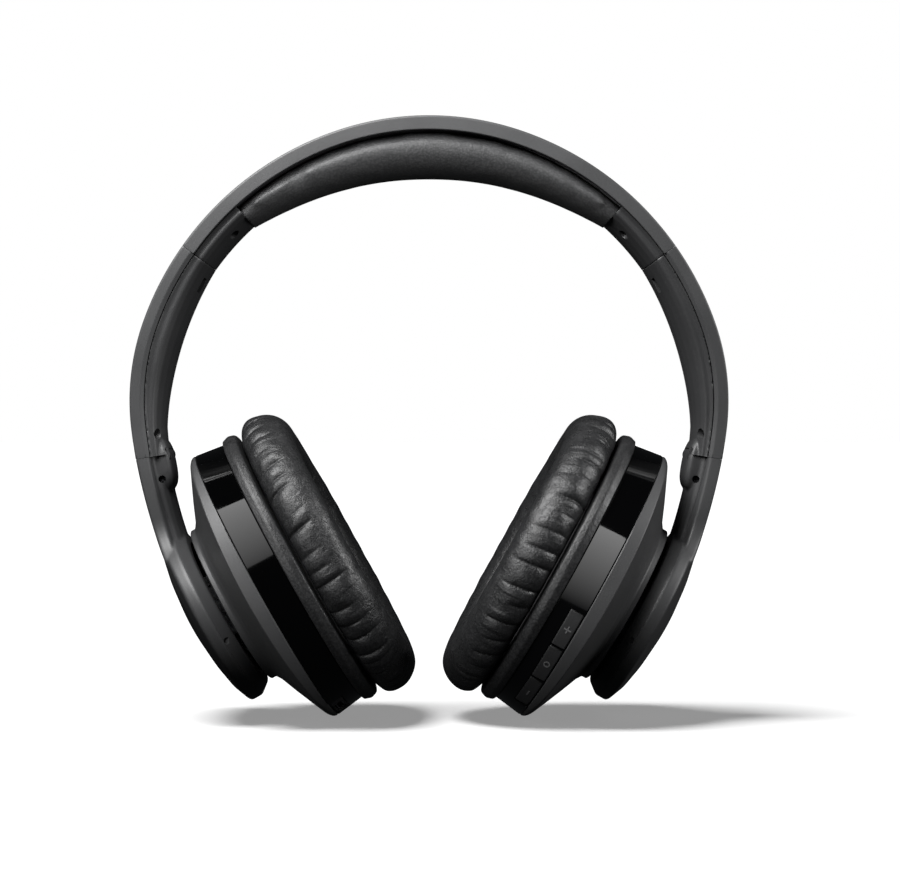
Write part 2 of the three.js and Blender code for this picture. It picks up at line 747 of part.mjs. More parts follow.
function piece(name, manifold, look) {
  const mesh = new THREE.Mesh(surface(manifold), MATERIALS[look]);
  mesh.name = name;
  return mesh;
}

const FRONT_REAR = ['front', 'rear'];

// The arm, yoke and cup of one side, as it stands on the -X side.
function buildSide(side) {
  const group = new THREE.Group();
  const cap = endCap();
  const arm = armCover();
  const yoke = yokeCover();
  const named = (part, manifold, look) => piece(`${side}_${part}`, manifold, look);
  const pairs = side === 'left' ? FRONT_REAR : [...FRONT_REAR].reverse();
  group.add(
    named('end_cap', cap.body, 'casing'),
    named('slider_strip', sliderStrip(), 'steel'),
    named('arm_shell', armShell(), 'casing'),
    named('arm_cover', arm.body, 'casing'),
    named('fold_pin', foldPin(), 'steel'),
    named('yoke_shell', yokeShell(), 'casing'),
    named('yoke_cover', yoke.body, 'casing'),
  );
  pairs.forEach((place, i) => group.add(
    named(`cap_screw_${place}`, cap.screws[i], 'darkSteel'),
    named(`arm_screw_${place}`, arm.screws[i], 'darkSteel'),
    named(`yoke_screw_${place}`, yoke.screws[i], 'darkSteel'),
  ));

  const cup = new THREE.Group();
  cup.applyMatrix4(cupFrame);
  const isButtonSide = side === 'right';
  const cutouts = isButtonSide
    ? BUTTONS.map((button) => wallSector(
      button, BUTTON_HEIGHTS, [WALL.inner - 2, WALL.outer + 2], 1, GAP))
    : [wallSector(PORT, BUTTON_HEIGHTS, [WALL.inner - 2, WALL.outer + 2], -1, GAP)];
  cup.add(
    named('pivot_block', pivotBlock(), 'steel'),
    named('tilt_pin', tiltPin(), 'steel'),
    named('swivel_pin', swivelPin(), 'steel'),
    named('back_shell', backShell(), 'casing'),
    named('side_ring', sideRing(cutouts), 'gloss'),
    named('baffle', baffle(), 'casing'),
    named('driver_frame', driverFrame(), 'casing'),
    named('driver_magnet', driverMagnet(), 'steel'),
    named('pad_ring', padRing(), 'leather'),
    named('acoustic_cloth', acousticCloth(), 'foam'),
    named('ear_cushion', earCushion(), 'leather'),
  );
  if (isButtonSide) {
    BUTTONS.forEach((button) => cup.add(piece(button.name, buttonSolid(button), 'casing')));
    cup.add(piece('main_board', mainBoard(), 'board'));
  } else {
    cup.add(
      piece('port_panel', portPanel(), 'casing'),
      piece('charging_socket', chargingSocket(), 'steel'),
      piece('battery', battery(), 'cell'),
    );
  }
  group.add(cup);
  return group;
}

const headphones = new THREE.Group();
headphones.add(
  piece('headband_outer_shell', headbandOuterShell(), 'casing'),
  piece('headband_inner_frame', headbandInnerFrame(), 'casing'),
  piece('headband_pad', headbandPad(), 'leather'),
  piece('crossover_cable', crossoverCable(), 'wire'),
);
const left = buildSide('left');
const right = buildSide('right');
right.rotation.z = Math.PI;
headphones.add(left, right);

export default headphones;
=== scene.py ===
"""Wireless over-ear headphones: finished surfaces, materials, light and camera.

Lengths are in millimetres until a mesh is made. Every piece stands on the
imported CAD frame; the outer line and the cup frame repeat the CAD's own.
"""
import math

import bmesh
import bpy
import numpy as np
from mathutils import Matrix, Vector, noise


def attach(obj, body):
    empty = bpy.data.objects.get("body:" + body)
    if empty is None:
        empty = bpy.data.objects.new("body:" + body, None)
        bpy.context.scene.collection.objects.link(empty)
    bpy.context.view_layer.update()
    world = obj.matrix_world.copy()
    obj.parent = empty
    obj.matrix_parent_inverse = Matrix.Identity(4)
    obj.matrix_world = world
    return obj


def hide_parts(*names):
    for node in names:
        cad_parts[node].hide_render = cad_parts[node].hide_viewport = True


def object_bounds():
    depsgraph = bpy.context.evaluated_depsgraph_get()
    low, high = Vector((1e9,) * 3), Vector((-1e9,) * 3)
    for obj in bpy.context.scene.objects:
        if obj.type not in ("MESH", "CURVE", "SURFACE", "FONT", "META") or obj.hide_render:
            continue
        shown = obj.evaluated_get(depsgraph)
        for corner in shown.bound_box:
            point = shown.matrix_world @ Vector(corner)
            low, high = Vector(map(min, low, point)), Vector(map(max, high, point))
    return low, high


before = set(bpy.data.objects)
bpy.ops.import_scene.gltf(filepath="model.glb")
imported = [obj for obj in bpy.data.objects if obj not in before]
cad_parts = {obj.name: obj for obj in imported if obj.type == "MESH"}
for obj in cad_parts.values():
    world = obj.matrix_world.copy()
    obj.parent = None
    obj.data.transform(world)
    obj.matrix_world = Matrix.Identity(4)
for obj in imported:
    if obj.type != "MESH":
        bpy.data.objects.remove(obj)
cad_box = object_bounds()

MM = 0.001

# ---- dimensions

CROWN_HEIGHT = 16.8
OUTLINE = [(84.4, 18.84), (92.2, 70.4), (69.7, 97.1), (181.5, 114.7), (92.5, 150.0)]
PAD_END = 42.4
PAD_DEPTH = 17.5
PAD_END_DEPTH = 10.7
PAD_GAP_ANGLE = 0.004
SLIDER_SEAM = 54.6
HINGE_SEAM = 99.8
NECK_END = 113.5
SLIDER_GAP_ANGLE = 0.014
HINGE_GAP_ANGLE = 0.008
BAND_HALF_WIDTH = 16.0
HINGE_HALF_WIDTH = 13.0
SHELL_DEPTH = 4.2
SHELL_WALL = 1.8
SHELL_RIM = 3.0
COVER_TOP = SHELL_DEPTH + 0.12   # leaves a visible gap between shell and cover
COVER_RIDGE = 11.0

# Each screw's place: across the band and its depth before the cover is fitted.
CAP_SCREW_ANGLE = 46.5
ARM_SCREW_ANGLE = 97.7
YOKE_SCREW_ANGLE = 102.1
SCREW_SPOTS = {CAP_SCREW_ANGLE: (9.2, 9.3), ARM_SCREW_ANGLE: (12.0, 8.6)}
SCREW_RADIUS = 1.4
SCREW_RECESS = 1.2
YOKE_SCREW_RADIUS = 1.0          # this one enters from the hinge's side
YOKE_SCREW_DEPTH = 6.3

PIN_DEPTH = 7.4
BARREL_RADIUS = 2.45
HUMP_MIDDLE = 100.4              # the swelling round the fold pin
HUMP_REACH = (2.45, 2.95)        # degrees above and below its middle
HUMP_TOP = 9.95
HOOD_HALF_WIDTH = 10.5           # on the arm; the yoke's cheeks fold into it
CHEEK_HALF_WIDTH = 9.8
FOLD_ROOM = 2.85
KNUCKLE_HALF_WIDTH = 5.85
EAR_HALF_WIDTH = 8.8

CUP_CENTRE = Vector((-36.2, 0.0, -115.4))
CUP_TURN = math.radians(29)
CUP_RATIO = 0.872
DISC_RADIUS = 28.0
DISC_LIP = -27.8
DISC_CROWN = -39.5
DISC_SPHERE = 92.5
POCKET_RADIUS = 22.3

SIDES = ("left", "right")
HALF_TURN = Matrix.Rotation(math.pi, 4, "Z")


# ---- the outer line

def outline_arcs():
    """Each arc of the outer line with its centre, carrying on from the last."""
    x, z = 0.0, CROWN_HEIGHT - OUTLINE[0][0]
    arcs = []
    for i, (radius, until) in enumerate(OUTLINE):
        if i:
            joint = math.radians(OUTLINE[i - 1][1])
            step = OUTLINE[i - 1][0] - radius
            x, z = x - math.sin(joint) * step, z + math.cos(joint) * step
        arcs.append((radius, until, x, z))
    return arcs


ARCS = outline_arcs()


def band_point(angle, depth, across):
    """A point at an angle along the outer line, a depth inside it and across."""
    radius, _, x, z = next(arc for arc in ARCS if abs(angle) <= arc[1])
    turn = math.radians(angle)
    reach = radius - depth
    x = math.copysign(x, x * angle) if angle else 0.0
    return Vector((x - reach * math.sin(turn), across, z + reach * math.cos(turn)))


def along_arm(angle, start):
    return min(1.0, max(0.0, (abs(angle) - start) / (HINGE_SEAM - start)))


def half_width(angle):
    narrowing = BAND_HALF_WIDTH - HINGE_HALF_WIDTH
    return BAND_HALF_WIDTH - narrowing * along_arm(angle, PAD_END)


def ridge_depth(angle):
    u = along_arm(angle, SLIDER_SEAM)
    return COVER_RIDGE - 0.4 - 1.65 * u + 1.9 * math.sin(math.pi * u)


CUP_FRAME = Matrix((
    (-math.sin(CUP_TURN), math.cos(CUP_TURN), 0.0, CUP_CENTRE.x),
    (0.0, 0.0, 1.0, CUP_CENTRE.y),
    (math.cos(CUP_TURN), math.sin(CUP_TURN), 0.0, CUP_CENTRE.z),
    (0.0, 0.0, 0.0, 1.0),
))


def dome_height(radius, depth=0.0):
    return DISC_CROWN + DISC_SPHERE - math.sqrt(DISC_SPHERE ** 2 - radius ** 2) + depth


# ---- mesh helpers

def rounded(points, steps=5):
    """A closed outline with its corners rounded; each point is x, y, radius."""
    result = []
    count = len(points)
    for i, (x, y, radius) in enumerate(points):
        here = Vector((x, y))
        before = Vector(points[i - 1][:2]) - here
        after = Vector(points[(i + 1) % count][:2]) - here
        if radius <= 0:
            result.append((x, y))
            continue
        opening = before.angle(after)
        reach = radius / max(math.tan(opening / 2), 1e-3)
        reach = min(reach, before.length * 0.49, after.length * 0.49)
        start = here + before.normalized() * reach
        end = here + after.normalized() * reach
        for k in range(steps + 1):
            t = k / steps
            p = start * (1 - t) ** 2 + here * 2 * t * (1 - t) + end * t ** 2
            result.append((p.x, p.y))
    return result


def mirrored_section(half):
    """A closed section from its half on the positive side, edge to middle."""
    other = [(-p[0],) + tuple(p[1:]) for p in reversed(half) if p[0] > 1e-9]
    return list(half) + other


def add_object(name, data):
    obj = bpy.data.objects.new(name, data)
    bpy.context.scene.collection.objects.link(obj)
    return obj


def make_mesh(name, vertices, faces):
    mesh = bpy.data.meshes.new(name)
    scaled = [tuple(c * MM for c in v) for v in vertices]
    mesh.from_pydata(scaled, [], faces)
    mesh.update()
    mesh.validate()
    return add_object(name, mesh)


def tube_faces(rows, count, closed=False):
    """Quads joining rows of points: a closed ring of rows, or a tube with ends."""
    faces = []
    for i in range(rows if closed else rows - 1):
        n = (i + 1) % rows
        for j in range(count):
            k = (j + 1) % count
            faces.append((i * count + j, i * count + k, n * count + k, n * count + j))
    if not closed:
        faces.append(tuple(range(count - 1, -1, -1)))
        faces.append(tuple(range((rows - 1) * count, rows * count)))
    return faces


def axes_frame(x, y, z, origin):
    return Matrix((
        (x.x, y.x, z.x, origin.x), (x.y, y.y, z.y, origin.y), (x.z, y.z, z.z, origin.z),
        (0, 0, 0, 1),
    ))


def orient(obj):
    """Turns a closed mesh's faces outwards."""
    mesh = obj.data
    mesh.calc_loop_triangles()
    volume = 0.0
    for tri in mesh.loop_triangles:
        a, b, c = (mesh.vertices[i].co for i in tri.vertices)
        volume += a.dot(b.cross(c))
    if volume < 0:
        mesh.flip_normals()
    return obj


def sweep(name, section, start, end, steps, fit=None):
    """A closed section swept along the outer line from one angle to another."""
    vertices = []
    for i in range(steps + 1):
        angle = start + (end - start) * i / steps
        for across, depth in section:
            if fit:
                across, depth = fit(across, depth, angle)
            vertices.append(band_point(angle, depth, across))
    return orient(make_mesh(name, vertices, tube_faces(steps + 1, len(section))))


def slab(start, end, depth=20, steps=6):
    """All of the band's thickness between two angles, as a cutting tool."""
    section = [(40, -6), (40, depth), (-40, depth), (-40, -6)]
    return sweep("slab", section, start, end, steps)


def lathe(name, profile, segments=160, ratio=1.0, shape=None, place=CUP_FRAME):
    """A solid turned about the cup's axis from a closed radius-height outline."""
    vertices = []
    for i in range(segments):
        turn = 2 * math.pi * i / segments
        for radius, height in profile:
            oval = ratio(radius) if callable(ratio) else ratio
            local = Vector((radius * math.cos(turn), height, radius * oval * math.sin(turn)))
            if shape:
                local = shape(local, turn, radius, height)
            vertices.append(place @ local)
    obj = make_mesh(name, vertices, tube_faces(segments, len(profile), closed=True))
    merge_vertices(obj)
    return orient(obj)


def merge_vertices(obj, distance=2e-6):
    bm = bmesh.new()
    bm.from_mesh(obj.data)
    bmesh.ops.remove_doubles(bm, verts=bm.verts, dist=distance)
    bmesh.ops.dissolve_degenerate(bm, edges=bm.edges, dist=distance)
    bm.to_mesh(obj.data)
    bm.free()


def cylinder(name, start, end, radius, sides=48):
    """A closed round bar between two points."""
    axis = (end - start).normalized()
    side = axis.orthogonal().normalized()
    other = axis.cross(side)
    turns = [2 * math.pi * i / sides for i in range(sides)]
    ring = [(side * math.cos(t) + other * math.sin(t)) * radius for t in turns]
    vertices = [start + r for r in ring] + [end + r for r in ring]
    return orient(make_mesh(name, vertices, tube_faces(2, sides)))


def block(name, low, high, place=None):
    """A closed box between two corners, in a frame of its own if one is given."""
    corners = [Vector((x, y, z)) for x in (low[0], high[0])
               for y in (low[1], high[1]) for z in (low[2], high[2])]
    if place:
        corners = [place @ c for c in corners]
    faces = [(0, 1, 3, 2), (4, 6, 7, 5), (0, 4, 5, 1), (2, 3, 7, 6), (0, 2, 6, 4), (1, 5, 7, 3)]
    return orient(make_mesh(name, corners, faces))


def bake_modifiers(obj):
    """Replaces an object's mesh by its mesh with the modifiers applied."""
    graph = bpy.context.evaluated_depsgraph_get()
    mesh = bpy.data.meshes.new_from_object(obj.evaluated_get(graph))
    obj.modifiers.clear()
    obj.data = mesh
    return obj


def discard(*objects):
    for obj in objects:
        bpy.data.objects.remove(obj)


def boolean(obj, tools, operation="DIFFERENCE", keep=False, solver="MANIFOLD"):
    for tool in tools:
        modifier = obj.modifiers.new("cut", "BOOLEAN")
        modifier.operation = operation
        modifier.object = tool
        modifier.solver = solver
    bake_modifiers(obj)
    if not keep:
        discard(*tools)
    return obj


def merged(name, objects):
    """One mesh holding all of these, which are removed."""
    vertices, faces = [], []
    for obj in objects:
        start = len(vertices)
        vertices += [v.co / MM for v in obj.data.vertices]
        faces += [tuple(start + i for i in p.vertices) for p in obj.data.polygons]
    discard(*objects)
    return make_mesh(name, vertices, faces)


def blended(name, objects, voxel=0.45, rounds=10):
    """Overlapping solids fused into one, with their meeting lines faired."""
    obj = merged(name, objects)
    remesh = obj.modifiers.new("fuse", "REMESH")
    remesh.mode = "VOXEL"
    remesh.voxel_size = voxel * MM
    remesh.use_smooth_shade = True
    fair = obj.modifiers.new("fair", "SMOOTH")
    fair.factor = 0.5
    fair.iterations = rounds
    return bake_modifiers(obj)


def soften(obj, width=0.15, angle=35, segments=2):
    """Small rounds on an object's sharp edges, with even shading."""
    bevel = obj.modifiers.new("round", "BEVEL")
    bevel.width = width * MM
    bevel.segments = segments
    bevel.limit_method = "ANGLE"
    bevel.angle_limit = math.radians(angle)
    bevel.use_clamp_overlap = True
    return bake_modifiers(obj)


def smooth(obj, angle=35, weighted=True):
    mesh = obj.data
    mesh.shade_smooth()
    mesh.set_sharp_from_angle(angle=math.radians(angle))
    if weighted:
        normals = obj.modifiers.new("normals", "WEIGHTED_NORMAL")
        normals.keep_sharp = True
    return obj


def copy_object(obj, name):
    twin = add_object(name, obj.data.copy())
    for modifier in obj.modifiers:
        if modifier.type == "WEIGHTED_NORMAL":
            twin.modifiers.new(modifier.name, modifier.type).keep_sharp = True
    return twin


def finish_piece(obj, body, material, nodes=()):
    obj.data.materials.clear()
    obj.data.materials.append(material)
    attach(obj, body)
    if nodes:
        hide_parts(*nodes)
    return obj


def both_sides(obj, name, body, material, nodes=()):
    """Uses a piece made for the -X side on both sides."""
    pair = {}
    for side in SIDES:
        piece = copy_object(obj, f"{side}_{name}")
        if side == "right":
            piece.data.transform(HALF_TURN)
        replaced = [f"{side}_{node}" for node in nodes]
        pair[side] = finish_piece(piece, f"{side}_{body}", material, replaced)
    discard(obj)
    return pair


# ---- materials

class Nodes:
    """Builds one material's node tree."""

    def __init__(self, name, colour, roughness, metallic=0.0):
        self.material = bpy.data.materials.new(name)
        self.material.use_nodes = True
        self.tree = self.material.node_tree
        self.shader = self.tree.nodes["Principled BSDF"]
        self.shader.inputs["Base Color"].default_value = (*colour, 1)
        self.shader.inputs["Roughness"].default_value = roughness
        self.shader.inputs["Metallic"].default_value = metallic
        self.where = self.node("TexCoord").outputs["Object"]

    def link(self, out, into):
        self.tree.links.new(out, into)

    def into(self, out, name):
        """Feeds one of the shader's own sockets."""
        self.link(out, self.shader.inputs[name])

    def node(self, kind, **values):
        """A shader node with some of its sockets set, such as from_min."""
        node = self.tree.nodes.new("ShaderNode" + kind)
        for name, value in values.items():
            node.inputs[name.replace("_", " ").title()].default_value = value
        return node

    def stretched(self, scale):
        mapping = self.node("Mapping", scale=scale)
        self.link(self.where, mapping.inputs["Vector"])
        return mapping.outputs["Vector"]

    def noise(self, scale, detail=4.0, roughness=0.5, distortion=0.0, where=None):
        node = self.node("TexNoise", scale=scale, detail=detail, roughness=roughness,
                         distortion=distortion)
        self.link(where or self.where, node.inputs["Vector"])
        return node.outputs["Fac"]

    def cells(self, scale, feature, smoothness=1.0):
        node = self.node("TexVoronoi", scale=scale)
        node.feature = feature
        if feature == "SMOOTH_F1":
            node.inputs["Smoothness"].default_value = smoothness
        self.link(self.where, node.inputs["Vector"])
        return node.outputs["Distance"]

    def ramp(self, value, low, high, out_low=0.0, out_high=1.0):
        node = self.node("MapRange", from_min=low, from_max=high, to_min=out_low, to_max=out_high)
        node.interpolation_type = "SMOOTHSTEP"
        self.link(value, node.inputs["Value"])
        return node.outputs["Result"]

    def math(self, operation, a, b):
        node = self.node("Math")
        node.operation = operation
        for socket, value in zip(node.inputs, (a, b)):
            if isinstance(value, (int, float)):
                socket.default_value = value
            else:
                self.link(value, socket)
        return node.outputs[0]

    def mix(self, factor, first, second):
        node = self.node("Mix")
        node.data_type = "RGBA"
        node.inputs["A"].default_value = (*first, 1)
        node.inputs["B"].default_value = (*second, 1)
        self.link(factor, node.inputs["Factor"])
        return node.outputs["Result"]

    def bump(self, height, distance, strength=1.0, after=None):
        node = self.node("Bump", distance=distance, strength=strength)
        self.link(height, node.inputs["Height"])
        if after:
            self.link(after, node.inputs["Normal"])
        return node.outputs["Normal"]

    def worn_edges(self, width=0.06):
        """Brighter where the mesh is sharply convex."""
        geometry = self.node("NewGeometry")
        return self.ramp(geometry.outputs["Pointiness"], 0.5 + width / 2, 0.5 + width * 2)


def matte_plastic(name, dark, light, roughness=0.5, grain=2600.0, depth=0.00003):
    """Moulded plastic with a spark-eroded grain and slightly polished edges."""
    n = Nodes(name, dark, roughness)
    patches = n.noise(38.0, 3.0)
    wear = n.worn_edges()
    tone = n.math("ADD", n.ramp(patches, 0.3, 0.8, 0.0, 0.5), n.math("MULTIPLY", wear, 0.5))
    n.into(n.mix(tone, dark, light), "Base Color")
    fine = n.noise(grain, 3.0, 0.6)
    uneven = n.math("ADD", n.ramp(patches, 0.2, 0.8, roughness - 0.04, roughness + 0.05),
                    n.math("MULTIPLY", wear, -0.1))
    n.into(uneven, "Roughness")
    n.into(n.bump(fine, depth, 0.7), "Normal")
    return n.material


def gloss_plastic(name):
    """Piano-black plastic: a deep base under a clear polish, with faint haze."""
    n = Nodes(name, (0.003, 0.003, 0.0034), 0.06)
    haze = n.noise(60.0, 5.0, 0.6)
    n.into(n.ramp(haze, 0.35, 0.75, 0.035, 0.1), "Roughness")
    ripple = n.noise(26.0, 2.0, 0.4)
    n.into(n.bump(ripple, 0.00008, 0.25), "Normal")
    n.shader.inputs["Coat Weight"].default_value = 0.6
    n.shader.inputs["Coat Roughness"].default_value = 0.03
    return n.material


def leather(name, dark, light, roughness, grain, depth, creases=0.0):
    """Synthetic leather: pebbled cells with fine pores and a satin finish."""
    n = Nodes(name, dark, roughness)
    warp = n.noise(grain * 0.25, 3.0)
    pebbles = n.cells(grain, "SMOOTH_F1", smoothness=0.6)
    pores = n.noise(grain * 2.4, 4.0, 0.65)
    height = n.math("ADD", n.math("MULTIPLY", pebbles, 0.8), n.math("MULTIPLY", pores, 0.35))
    height = n.math("ADD", height, n.math("MULTIPLY", warp, 0.5))
    normal = n.bump(height, depth, 0.8)
    if creases:
        fine = n.noise(grain * 0.22, 6.0, 0.7, 0.3)
        folds = n.ramp(fine, 0.42, 0.58)
        normal = n.bump(folds, creases, 0.6, after=normal)
    tone = n.ramp(pebbles, 0.15, 0.75)
    n.into(n.mix(tone, light, dark), "Base Color")
    n.into(n.ramp(warp, 0.25, 0.75, roughness - 0.07, roughness + 0.08), "Roughness")
    n.into(normal, "Normal")
    return n.material


def metal(name, colour, roughness, streak=(40.0, 900.0, 900.0)):
    """Drawn or ground steel with fine streaks."""
    n = Nodes(name, colour, roughness, 1.0)
    streaks = n.noise(1.0, 3.0, 0.6, where=n.stretched(streak))
    n.into(n.ramp(streaks, 0.3, 0.7, roughness - 0.05, roughness + 0.06), "Roughness")
    n.into(n.bump(streaks, 0.000002, 0.2), "Normal")
    darker = tuple(c * 0.85 for c in colour)
    n.into(n.mix(n.ramp(streaks, 0.2, 0.8), darker, colour), "Base Color")
    return n.material


def woven_cloth(name, colour):
    """Thin acoustic cloth with a plain weave."""
    n = Nodes(name, colour, 0.85)
    threads = []
    for axis in ((2600.0, 0.0, 0.0), (0.0, 2600.0, 2600.0)):
        wave = n.node("TexWave", scale=0.5, distortion=0.4)
        n.link(n.stretched(axis), wave.inputs["Vector"])
        threads.append(wave.outputs["Fac"])
    weave = n.math("MAXIMUM", *threads)
    n.into(n.bump(weave, 0.00012, 0.8), "Normal")
    lighter = tuple(c * 2.2 for c in colour)
    n.into(n.mix(weave, colour, lighter), "Base Color")
    return n.material


def solder_mask(name):
    base, track = (0.01, 0.06, 0.02), (0.03, 0.12, 0.05)
    n = Nodes(name, base, 0.35)
    tracks = n.cells(260.0, "DISTANCE_TO_EDGE")
    n.into(n.mix(n.ramp(tracks, 0.02, 0.08), track, base), "Base Color")
    n.into(n.bump(tracks, 0.00005, 0.6), "Normal")
    return n.material


def foil(name):
    n = Nodes(name, (0.25, 0.26, 0.28), 0.3, 0.9)
    crinkle = n.noise(120.0, 4.0, 0.5, 1.0)
    n.into(n.bump(crinkle, 0.0003, 0.5), "Normal")
    n.into(n.ramp(crinkle, 0.3, 0.7, 0.2, 0.42), "Roughness")
    return n.material


CASING = matte_plastic("casing", (0.040, 0.0405, 0.0415), (0.056, 0.0565, 0.058), 0.46)
COVER = matte_plastic("cover", (0.030, 0.0303, 0.0312), (0.044, 0.0443, 0.0455), 0.42)
DOME = matte_plastic("dome", (0.046, 0.0463, 0.0474), (0.062, 0.0623, 0.0638), 0.44)
KEYS = matte_plastic("keys", (0.026, 0.0262, 0.027), (0.038, 0.0383, 0.039), 0.5, 3200.0, 0.00002)
GLOSS = gloss_plastic("gloss_wall")
PAD_LEATHER = leather("pad_leather", (0.055, 0.0555, 0.0565), (0.08, 0.0805, 0.082),
                      0.46, 1500.0, 0.0001)
CUSHION_LEATHER = leather("cushion_leather", (0.016, 0.0162, 0.0168), (0.028, 0.0283, 0.029),
                          0.31, 1700.0, 0.00008, creases=0.00008)
FLANGE_LEATHER = leather("flange_leather", (0.016, 0.0162, 0.0168), (0.03, 0.0302, 0.031),
                         0.4, 1500.0, 0.0001)
STEEL = metal("steel", (0.42, 0.43, 0.45), 0.32)
BLACK_STEEL = metal("black_steel", (0.035, 0.035, 0.038), 0.38)
CLOTH = woven_cloth("acoustic_cloth", (0.006, 0.006, 0.0065))
SLEEVE = matte_plastic("wire_sleeve", (0.01, 0.01, 0.011), (0.018, 0.018, 0.019), 0.6)
BOARD = solder_mask("board")
CELL = foil("cell")
MARK = matte_plastic("mark", (0.12, 0.12, 0.122), (0.16, 0.16, 0.162), 0.45)


# ---- camera

CAMERA_DISTANCE = 0.78
CAMERA_HEIGHT = -0.078
LENS = 104.0
SENSOR_WIDTH = 36.0
SHIFT = 21 / 900                 # the object stands this far left of the middle


def build_camera():
    data = bpy.data.cameras.new("camera")
    data.lens = LENS
    data.sensor_width = SENSOR_WIDTH
    data.shift_x = SHIFT
    camera = add_object("camera", data)
    camera.location = (0.0, -CAMERA_DISTANCE, CAMERA_HEIGHT)
    camera.rotation_euler = (math.radians(90), 0, 0)
    bpy.context.scene.camera = camera


# ---- sections of casing

def scale_across(across, angle):
    return across * half_width(angle) / BAND_HALF_WIDTH


def fit_shell(across, depth, angle):
    return scale_across(across, angle), depth


def fit_cover(across, depth, angle):
    scale = (ridge_depth(angle) - COVER_TOP) / (COVER_RIDGE - COVER_TOP)
    return scale_across(across, angle), COVER_TOP + (depth - COVER_TOP) * scale


W = BAND_HALF_WIDTH


def shell_section(edge):
    """The outer strip's channel, with the given corners at its open edge."""
    return rounded(mirrored_section([
        (0.0, 0.0, 0.0), (W, 0.0, 0.7), *edge, (W - SHELL_RIM, SHELL_DEPTH, 0.2),
        (W - SHELL_RIM, SHELL_WALL, 0.3), (0.0, SHELL_WALL, 0.0),
    ]))


ARM_SHELL_SECTION = shell_section([(W, 3.1, 0.9), (W - 0.75, SHELL_DEPTH, 0.25)])
HEAD_SHELL_SECTION = shell_section([(W, SHELL_DEPTH, 0.35)])
COVER_SECTION = rounded(mirrored_section([
    (0.0, COVER_TOP, 0.0),
    (W - 0.9, COVER_TOP, 0.15),
    (W - 1.9, 5.5, 1.4),
    (W - 1.7, 6.9, 1.6),
    (W - 3.6, 8.3, 3.0),
    (9.0, 9.7, 4.0),
    (5.0, 10.65, 5.0),
    (0.0, COVER_RIDGE, 0.0),
]))


def screw_place(angle, side):
    """Where a cover's screw sits: its mouth on the surface and its direction."""
    if angle == YOKE_SCREW_ANGLE:
        mouth = band_point(angle, YOKE_SCREW_DEPTH, side * (CHEEK_HALF_WIDTH + 0.2))
        return mouth, Vector((0, -side, 0))
    across, raised = SCREW_SPOTS[angle]
    across, crown = fit_cover(across, raised, angle)
    mouth = band_point(angle, crown, side * across)
    inward = (band_point(angle, crown - 1, side * across) - mouth).normalized()
    return mouth, inward


def screw_radius(angle):
    return YOKE_SCREW_RADIUS if angle == YOKE_SCREW_ANGLE else SCREW_RADIUS


def screw_hole(angle, side):
    mouth, inward = screw_place(angle, side)
    radius = screw_radius(angle) + (0.1 if angle == YOKE_SCREW_ANGLE else 0.25)
    return cylinder("hole", mouth - inward * 3, mouth + inward * (SCREW_RECESS + 1.2), radius)


def screw_piece(angle, side):
    """A pan head sunk in its hole, with a cross recess."""
    mouth, inward = screw_place(angle, side)
    top = mouth + inward * SCREW_RECESS
    head = cylinder("head", top, top + inward * 1.1, screw_radius(angle))
    shank = cylinder("shank", top + inward * 1.0, top + inward * 3.6, 0.8, 24)
    boolean(head, [shank], "UNION")
    side_axis = inward.orthogonal().normalized()
    place = axes_frame(side_axis, inward.cross(side_axis), inward, top)
    slots = [
        block("slot", (-0.85, -0.17, -0.5), (0.85, 0.17, 0.55), place),
        block("slot", (-0.17, -0.85, -0.5), (0.17, 0.85, 0.55), place),
    ]
    boolean(head, slots)
    return smooth(soften(head, 0.12, 40))


# ---- headband

def build_headband():
    end = SLIDER_SEAM - SLIDER_GAP_ANGLE
    shell = sweep("headband_shell", HEAD_SHELL_SECTION, -end, end, 160, fit_shell)
    soften(shell, 0.12, 50)
    finish_piece(smooth(shell), "headband", CASING, ["headband_outer_shell"])

    for side in SIDES:
        cap = sweep("cap", COVER_SECTION, PAD_END + PAD_GAP_ANGLE, end, 24, fit_cover)
        soften(cap, 0.2, 50)
        boolean(cap, [screw_hole(CAP_SCREW_ANGLE, s) for s in (-1, 1)])
        cap.name = f"{side}_end_cap_finish"
        if side == "right":
            cap.data.transform(HALF_TURN)
        finish_piece(smooth(cap), "headband", COVER, [f"{side}_end_cap"])


def build_screws(angle, name, body):
    for across, places in ((-1, ("front", "rear")), (1, ("rear", "front"))):
        screw = screw_piece(angle, across)
        for side, place in zip(SIDES, places):
            piece = copy_object(screw, f"{side}_{name}_{place}_finish")
            if side == "right":
                piece.data.transform(HALF_TURN)
            home = body if body == "headband" else f"{side}_{body}"
            finish_piece(piece, home, BLACK_STEEL, [f"{side}_{name}_{place}"])
        discard(screw)


# ---- soft pieces

CLOTH_FRAMES = 20


